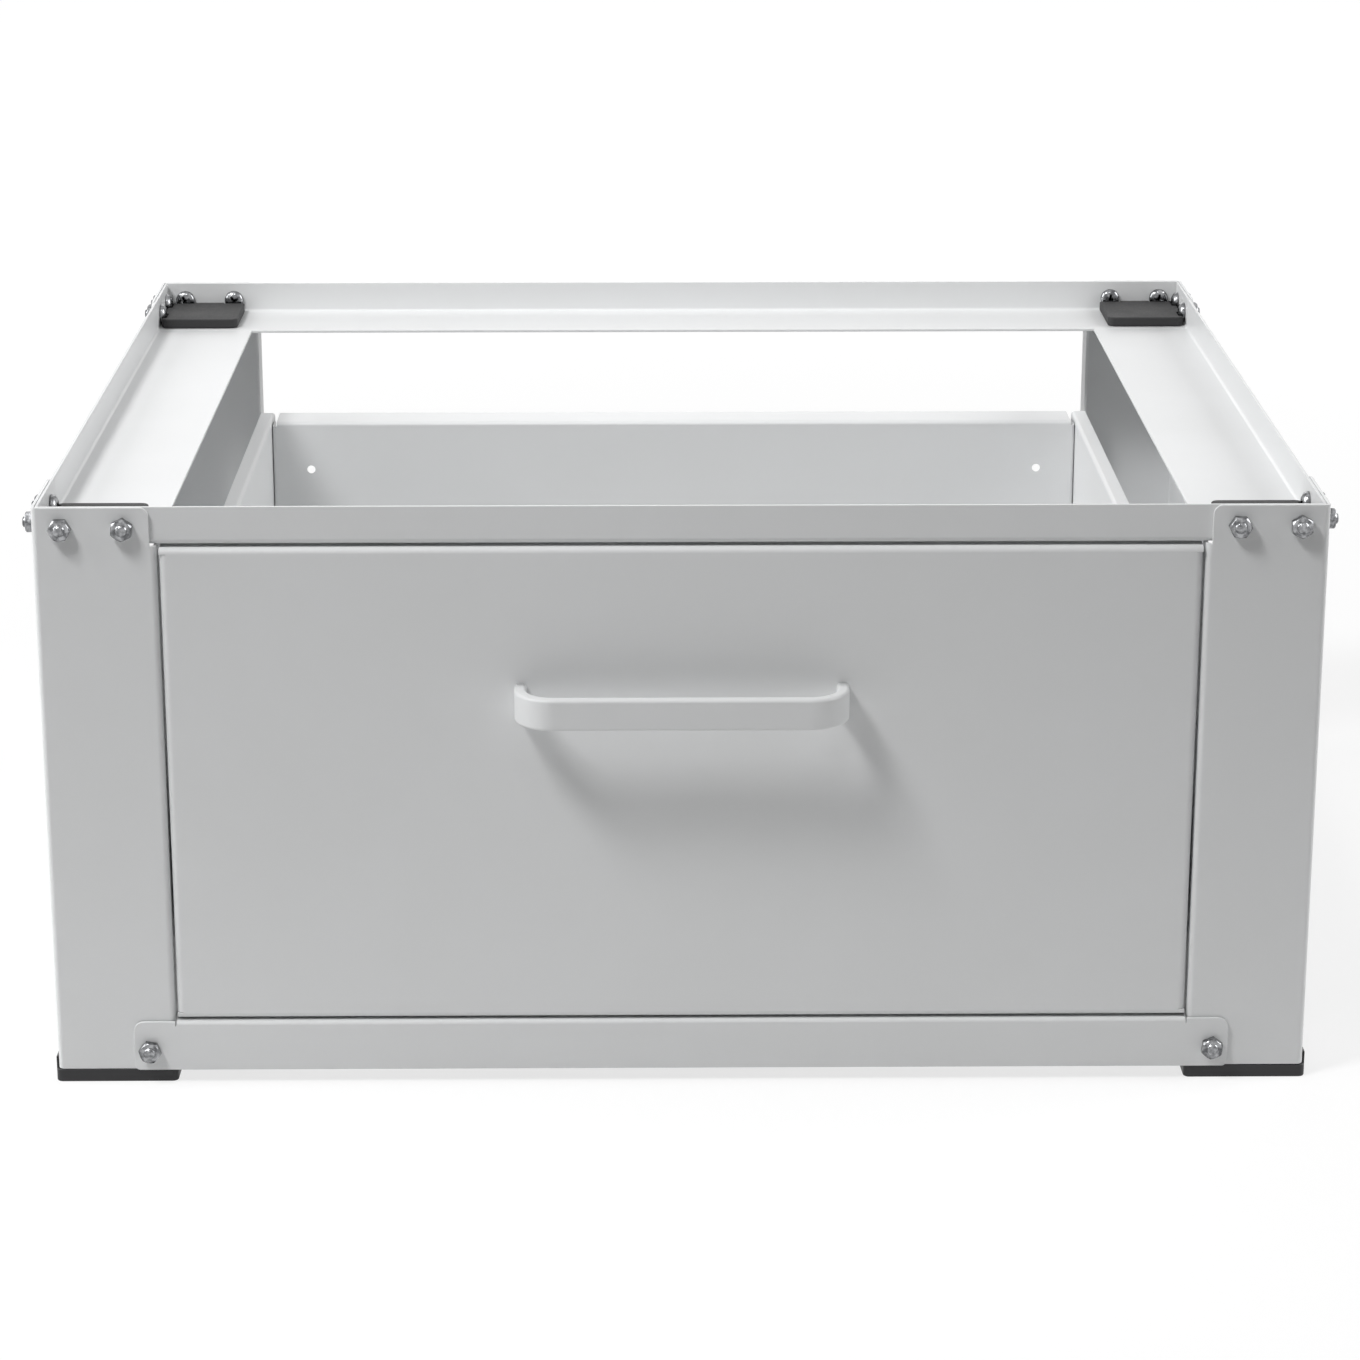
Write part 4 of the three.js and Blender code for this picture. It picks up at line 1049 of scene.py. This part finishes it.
for side_name, side in sides.items():
    low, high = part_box(f"slide_carrier_{side_name}")
    half = carrier_sheet / 2
    inner = side * (opening_half + half)
    outer = side * (opening_half + post_sheet + seat + half)
    tip = high.y - middle_y
    stepped = tip - carrier_tab
    level = stepped - carrier_step
    flange_x, _ = outer_and_inner(low.x, high.x, side)
    across = fold_line([(middle_y - tip, outer), (middle_y - stepped, outer),
                        (middle_y - level, inner), (middle_y + level, inner),
                        (middle_y + stepped, outer), (middle_y + tip, outer)], carrier_bend)
    along = fold_line([(low.z + half, flange_x), (low.z + half, inner),
                       (high.z - half, inner), (high.z - half, flange_x)], carrier_bend)
    marks, spread = starts(across), starts(along)
    web = longest(across)
    ear = carrier_bend + half
    first, last = marks[web] + carrier_plain, marks[web + 1] - carrier_plain
    tab_start, tab_end = marks[web] - relief, marks[web + 1] + relief
    base, top = spread[2] - ear, spread[3] + ear
    outline = rounded([(0.0, base, carrier_corner), (tab_start, base), (tab_start, spread[2]),
                       (first, spread[2]), (first, 0.0, carrier_corner),
                       (last, 0.0, carrier_corner), (last, spread[2]), (tab_end, spread[2]),
                       (tab_end, base), (marks[-1], base, carrier_corner),
                       (marks[-1], top, carrier_corner), (tab_end, top), (tab_end, spread[3]),
                       (last, spread[3]), (last, spread[5], carrier_corner),
                       (first, spread[5], carrier_corner), (first, spread[3]),
                       (tab_start, spread[3]), (tab_start, top), (0.0, top, carrier_corner)])
    carrier = pressed(cut_sheet(outline, [], carrier_sheet), lambda y, x, z: (x, y, z),
                      across, along)
    piece(f"{side_name}_slide_carrier", carrier, zinc_plate, "frame", "zinc_plate",
          f"slide_carrier_{side_name}")

carrier_rivets = []
carrier_tails = []
for _, side, end in corners:
    y = from_end(end, rivet_inset)
    for rise in (-carrier_rivet_rise, carrier_rivet_rise):
        carrier_rivets.append(((side * (opening_half - seat), y, slide_rise + rise),
                               (-side, 0.0, 0.0)))
        carrier_tails.append(((side * (opening_half + 2 * post_sheet + seat), y, slide_rise + rise),
                              (side, 0.0, 0.0)))
fastened("carrier_rivet_heads", carrier_rivets, rivet_set, rivet_head, zinc_plate, "frame",
         "zinc_plate")
fastened("carrier_rivet_tails", carrier_tails, rivet_set, rivet_tail, zinc_plate, "frame",
         "zinc_plate")

# ---------------------------------------------------------------- telescopic slides
# Three rolled members of black zinc-plated steel run in each other on rows of balls.
# The outer one is riveted to the carrier, the inner one is screwed to the drawer's side.

slide_face = opening_half - seat
slide_screw_inset = 40 * mm
slide_screw_ys = [slide_low.y + slide_screw_inset, (slide_low.y + slide_high.y) / 2,
                  slide_high.y - slide_screw_inset]
# the sections are in mm, and their distances are from the fixed face towards the drawer
stout_sheet = 1.2
middle_web, inner_web, inner_face = 3.0, 12.1, 11.5
# each section: (distance, height over the middle) of its corners, sheet, inside fold
outer_member = ([(9.0, 18.75), (9.0, 22.15), (0.6, 22.15)], stout_sheet, 1.75)
middle_member = ([(10.5, 14.55), (10.5, 17.55), (middle_web, 17.55)], 1.0, 1.0)
inner_member = ([(5.5, 12.95), (inner_web, 12.95)], stout_sheet, 1.2)
access_hole = 5 * mm        # for a screwdriver, through the middle member
thin_edge = 0.2 * mm        # how far the finish rounds a cut edge of the thinner sheets

slide_steel = plated("slide_steel", "303134", "47494c", rough=(0.30, 0.46), grain=0.3 * mm,
                     cloud=9 * mm, depth=0.01 * mm, metallic=0.9)


def rolled(side, section, low_y, high_y, holes=()):
    """A rolled member or a cage strip: half a section, mirrored, along y."""
    upper, sheet, fold = section
    whole = upper + [(across, -rise) for across, rise in reversed(upper)]
    runs = fold_line([(side * (slide_face - across * mm), slide_rise + rise * mm)
                      for across, rise in whole], (fold + sheet / 2) * mm)
    cuts = [round_hole(flat_of(runs, (side * (slide_face - across * mm), slide_rise + rise * mm)),
                       y, radius) for across, rise, y, radius in holes]
    flat = cut_sheet(oblong(0.0, low_y, starts(runs)[-1], high_y), cuts, sheet * mm, thin_edge, 2)
    return pressed(flat, lambda x, z, y: (x, y, z), runs)


span = (slide_low.y, slide_high.y)
access_holes = [(middle_web, 0.0, y, access_hole) for y in slide_screw_ys]
screw_holes = [(inner_web, 0.0, y, rivet_hole) for y in slide_screw_ys]
for side_name, side in sides.items():
    middle = f"slide_middle_{side_name}"
    piece(f"{side_name}_slide_outer_member", rolled(side, outer_member, *span),
          slide_steel, "frame", "slide_steel", f"slide_outer_{side_name}")
    piece(f"{side_name}_slide_middle_member", rolled(side, middle_member, *span, access_holes),
          slide_steel, middle, "slide_steel", middle)
    piece(f"{side_name}_slide_inner_member", rolled(side, inner_member, *span, screw_holes),
          slide_steel, "drawer", "slide_steel", f"slide_inner_{side_name}")


def on_both_slides(across, way):
    """The slides' fastening places, `across` from the middle of the pedestal."""
    return [((side * across, y, slide_rise), (side * way, 0.0, 0.0))
            for side in sides.values() for y in slide_screw_ys]


flat_head = {"Head Radius": 4 * mm, "Head Height": 0.5 * mm}
slide_screw = {"Head Radius": 3.6 * mm, "Head Height": 2 * mm, "Recess": 4.2 * mm,
               "Shank Radius": 2 * mm, "Grip": 2.8 * mm, "Tip": 1 * mm, "Thread": 0.7 * mm,
               "Nut Flats": 7 * mm, "Nut Height": 3.2 * mm}
fastened("slide_rivet_heads", on_both_slides(slide_face - stout_sheet * mm, -1), rivet_set,
         flat_head, slide_steel, "frame", "slide_steel")
fastened("slide_rivet_tails", on_both_slides(opening_half + post_sheet, 1), rivet_set,
         rivet_head, slide_steel, "frame", "slide_steel")
fastened("slide_screws", on_both_slides(slide_face - inner_face * mm, 1), bolt_and_nut,
         slide_screw, zinc_plate, "drawer", "zinc_plate")

# ---------------------------------------------------------------- ball cages
# Between two members a strip of zinc-plated steel keeps the balls apart. It travels halfway
# between the two, with a row of hard steel balls in each of its arms.

cage_sheet = 0.6            # mm, as the members' sections
balls_per_row = 10
ball_radius = 1.6           # mm
past_ball = 0.8             # how far an arm runs past the balls' middles, in their radii
ball_window = 1.45 * mm
# each cage, in mm: how far its web and its balls are from the fixed face, and the balls' height
cages = {"outer": (1.85, 6.65, 19.8), "inner": (4.15, 8.25, 15.3)}

ball_steel = plated("ball_steel", "b4b6b9", "d0d2d4", rough=(0.08, 0.14), grain=0.5 * mm,
                    cloud=4 * mm, depth=0.002 * mm)

# A smooth ball on each point
ball_row, given, out = shaped("ball_row", "Points", "Ball Radius", "Finish")
ball = place(ball_row, "GeometryNodeMeshUVSphere", {"Segments": 14, "Rings": 9,
             "Radius": given["Ball Radius"]})
round_ball = place(ball_row, "GeometryNodeSetShadeSmooth", {"Geometry": ball.outputs["Mesh"],
                   "Shade Smooth": True})
ball_row.links.new(on_points(ball_row, given, round_ball.outputs[0]), out.inputs[0])

for side_name, side in sides.items():
    for place_name, (web, across, rise) in cages.items():
        node = f"slide_cage_{place_name}_{side_name}"
        low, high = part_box(node)
        pitch = (high.y - low.y) / balls_per_row
        balls = [(low.y + pitch * (i + 0.5), level)
                 for i in range(balls_per_row) for level in (rise, -rise)]
        arm = across + past_ball * ball_radius
        strip = rolled(side, ([(arm, rise), (web, rise)], cage_sheet, cage_sheet), low.y, high.y,
                       [(across, level, y, ball_window) for y, level in balls])
        piece(f"{side_name}_{place_name}_ball_cage", strip, zinc_plate, node, "zinc_plate", node)
        ball_x = side * (slide_face - across * mm)
        fastened(f"{side_name}_{place_name}_balls",
                 [((ball_x, y, slide_rise + level * mm), (0.0, 0.0, 1.0)) for y, level in balls],
                 ball_row, {"Ball Radius": ball_radius * mm}, ball_steel, node, "zinc_plate")

# ---------------------------------------------------------------- drawer sides
# Each side is pressed from 1 mm steel and powder coated. Its rim is folded out at the top,
# a flange folded in under the floor, and a tab at the front is welded behind the front.

drawer_sheet = 1 * mm
drawer_fold = 1.2 * mm      # inside radius
drawer_bend = 1.7 * mm
drawer_corner = 2.2 * mm    # outside radius
side_rim = 8.5 * mm
floor_flange = 14 * mm
front_tab = 14 * mm
tab_gap = 0.7 * mm          # between a tab and the floor
back_rim = 25 * mm
back_flange = 14 * mm
floor_rivets = 4
back_rivet_rise, back_rivet_drop = 17 * mm, 40 * mm     # over the floor, and under the rim

side_low, side_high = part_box("drawer_side_right")
thin = drawer_sheet / 2
wall_middle = side_high.x - side_rim + thin
wall_outer = wall_middle + thin
box_front = side_low.y
side_back = side_high.y
box_back = side_back - back_rim
drawer_top = side_high.z
flange_rise = side_low.z + thin
flange_edge = wall_outer - floor_flange
floor_underside = flange_rise + thin + seat
floor_rivet_x = (flange_edge + wall_middle - thin - drawer_fold) / 2
floor_rivet_ys = [box_front + (box_back - box_front) * (i + 0.5) / floor_rivets
                  for i in range(floor_rivets)]
back_rivet_y = box_back + (drawer_corner + back_flange) / 2
back_rivet_zs = [floor_underside + back_rivet_rise, drawer_top - back_rivet_drop]

for side_name, side in sides.items():
    wall = side * wall_middle
    across = fold_line([(flange_rise, side * flange_edge), (flange_rise, wall),
                        (drawer_top - thin, wall), (drawer_top - thin, side * side_high.x)],
                       drawer_bend)
    along = fold_line([(box_front + thin, side * (wall_outer - front_tab)),
                       (box_front + thin, wall), (side_back, wall)], drawer_bend)
    m, n = starts(across), starts(along)
    outline = rounded([(0.0, n[2]), (0.0, n[3]), (m[5], n[3]), (m[5], n[2]),
                       (m[3] - relief, n[2]), (m[3] - relief, 0.0), (m[2] + tab_gap, 0.0),
                       (m[2] + tab_gap, n[2])])
    holes = [(slide_rise, y) for y in slide_screw_ys] + [(z, back_rivet_y) for z in back_rivet_zs]
    holes = [(flat_of(across, (z, wall)), flat_of(along, (y, wall)), rivet_hole)
             for z, y in holes]
    holes += [(flat_of(across, (flange_rise, side * floor_rivet_x)), flat_of(along, (y, wall)),
               rivet_hole) for y in floor_rivet_ys]
    flat = cut_sheet(outline, [round_hole(*hole) for hole in holes], drawer_sheet, thin_edge)
    wall_piece = pressed(flat, lambda z, x, y: (x, y, z), across, along)
    piece(f"drawer_{side_name}_side", wall_piece, powder_coat, "drawer", "powder_coat",
          f"drawer_side_{side_name}")

# ---------------------------------------------------------------- drawer back and floor
# The back is folded back at its sides and riveted there between the side walls. It has a
# deep rim, a flange under the floor and two holes that it hung by when it was coated. The
# floor is a flat sheet, riveted onto the flanges under it.

hang_hole = 2.4 * mm
hang_hole_inset, hang_hole_drop = 23 * mm, 29 * mm
hang_hole_x = wall_middle - thin - hang_hole_inset
hang_hole_z = drawer_top - hang_hole_drop

wall_y = box_back + thin
flange_x = wall_middle - thin - seat - thin
runs = fold_line([(flange_rise, box_back - floor_flange), (flange_rise, wall_y),
                  (drawer_top - thin, wall_y), (drawer_top - thin, side_back)], drawer_bend)
along = fold_line([(-flange_x, box_back + back_flange), (-flange_x, wall_y), (flange_x, wall_y),
                   (flange_x, box_back + back_flange)], drawer_bend)
m, n = starts(runs), starts(along)
foot_left, foot_right = [flat_of(along, (side * (flange_edge - seat), wall_y)) for side in (-1, 1)]
outline = rounded([(0.0, foot_left), (0.0, foot_right), (m[2] + relief, foot_right),
                   (m[2] + relief, n[5]), (m[3] - relief, n[5]), (m[3] - relief, n[3] - relief),
                   (m[5], n[3] - relief), (m[5], n[2] + relief), (m[3] - relief, n[2] + relief),
                   (m[3] - relief, 0.0), (m[2] + relief, 0.0), (m[2] + relief, foot_left)])
holes = [round_hole(flat_of(runs, (hang_hole_z, wall_y)),
                    flat_of(along, (side * hang_hole_x, wall_y)), hang_hole)
         for side in sides.values()]
back = pressed(cut_sheet(outline, holes, drawer_sheet, thin_edge), lambda z, y, x: (x, y, z),
               runs, along)
piece("drawer_back_wall", back, powder_coat, "drawer", "powder_coat", "drawer_back")

low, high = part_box("drawer_floor")
flat = cut_sheet(oblong(low.x, low.y, high.x, high.y), [], drawer_sheet, thin_edge)
piece("drawer_floor_sheet", lifted(flat, floor_underside + thin), powder_coat, "drawer",
      "powder_coat", "drawer_floor")

# The rivets' heads are painted over with the sheets they hold
painted_head = {"Head Radius": 3.2 * mm, "Head Height": 1.1 * mm}
painted_rivets = [((side * wall_outer, back_rivet_y, z), (side, 0.0, 0.0))
                  for side in sides.values() for z in back_rivet_zs]
painted_rivets += [((side * (flange_x - thin), back_rivet_y, z), (-side, 0.0, 0.0))
                   for side in sides.values() for z in back_rivet_zs]
painted_rivets += [((side * floor_rivet_x, y, floor_underside + drawer_sheet), (0.0, 0.0, 1.0))
                   for side in sides.values() for y in floor_rivet_ys]
painted_rivets += [((side * floor_rivet_x, y, flange_rise - thin), (0.0, 0.0, -1.0))
                   for side in sides.values() for y in floor_rivet_ys]
fastened("drawer_rivets", painted_rivets, rivet_set, painted_head, powder_coat, "drawer",
         "powder_coat")

# ---------------------------------------------------------------- drawer front
# The front is a shallow pan of 1.2 mm steel: all four edges are folded back on a 2 mm
# radius, the top and bottom ones over the full width and the side ones between them.

front_sheet = 1.2 * mm
front_bend = 2.6 * mm
front_edge = 0.08 * mm      # its edges are inside, and only broken
front_slit = 0.1 * mm       # half the cut between two flanges that meet at a corner

low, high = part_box("drawer_front")
thick = front_sheet / 2
face = low.y + thick
across = fold_line([(low.z + thick, high.y), (low.z + thick, face), (high.z - thick, face),
                    (high.z - thick, high.y)], front_bend)
along = fold_line([(low.x + thick, high.y), (low.x + thick, face), (high.x - thick, face),
                   (high.x - thick, high.y)], front_bend)
m, n = starts(across), starts(along)
ear = front_bend + thick
left_edge, right_edge = n[2] - ear, n[3] + ear
outline = rounded([(0.0, left_edge), (0.0, right_edge), (m[2] - front_slit, right_edge),
                   (m[2] - front_slit, n[3]), (m[2] + front_slit, n[3]), (m[2] + front_slit, n[5]),
                   (m[3] - front_slit, n[5]), (m[3] - front_slit, n[3]), (m[3] + front_slit, n[3]),
                   (m[3] + front_slit, right_edge), (m[5], right_edge), (m[5], left_edge),
                   (m[3] + front_slit, left_edge), (m[3] + front_slit, n[2]),
                   (m[3] - front_slit, n[2]), (m[3] - front_slit, 0.0), (m[2] + front_slit, 0.0),
                   (m[2] + front_slit, n[2]), (m[2] - front_slit, n[2]),
                   (m[2] - front_slit, left_edge)])
pan = pressed(cut_sheet(outline, [], front_sheet, front_edge, 2), lambda z, y, x: (x, y, z),
              across, along)
piece("drawer_front_pan", pan, powder_coat, "drawer", "powder_coat", "drawer_front")

# ---------------------------------------------------------------- handle
# A flat steel bar with rounded edges, bent to a bow, powder coated like the front and held
# by a screw through the front into each foot.

bar_thickness = 6 * mm
bar_corner = 20 * mm        # outside radius of each bend
bar_edge = 1.7 * mm
bar_edge_steps = 6
bar_steps = 20

low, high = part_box("handle")
stout = bar_thickness / 2
bow = low.y + stout
runs = fold_line([(low.x + stout, high.y), (low.x + stout, bow), (high.x - stout, bow),
                  (high.x - stout, high.y)], bar_corner - stout)
flat = cut_sheet(oblong(0.0, low.z, starts(runs)[-1], high.z), [], bar_thickness, bar_edge,
                 bar_edge_steps)
piece("bow_handle", pressed(flat, lambda x, y, z: (x, y, z), runs, steps=bar_steps),
      powder_coat, "drawer", "powder_coat", "handle")

handle_screw = {"Head Radius": 3.6 * mm, "Head Height": 2 * mm, "Recess": 4.2 * mm,
                "Shank Radius": 2 * mm, "Grip": 1.8 * mm, "Tip": 10 * mm, "Thread": 0.7 * mm}
low_screw, high_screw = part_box("handle_screw_right")
screw_z = (low_screw.z + high_screw.z) / 2
screw_x = (low_screw.x + high_screw.x) / 2
head_y = high_screw.y - handle_screw["Head Height"]
fastened("handle_screws", [((side * screw_x, head_y, screw_z), (0.0, 1.0, 0.0))
                           for side in sides.values()],
         bolt_tree("bolt_alone", False), handle_screw, zinc_plate, "drawer", "zinc_plate",
         "handle_screw_left", "handle_screw_right")

# ---------------------------------------------------------------- the model's own box
# The box round every shown object but the backdrop.

low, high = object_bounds()
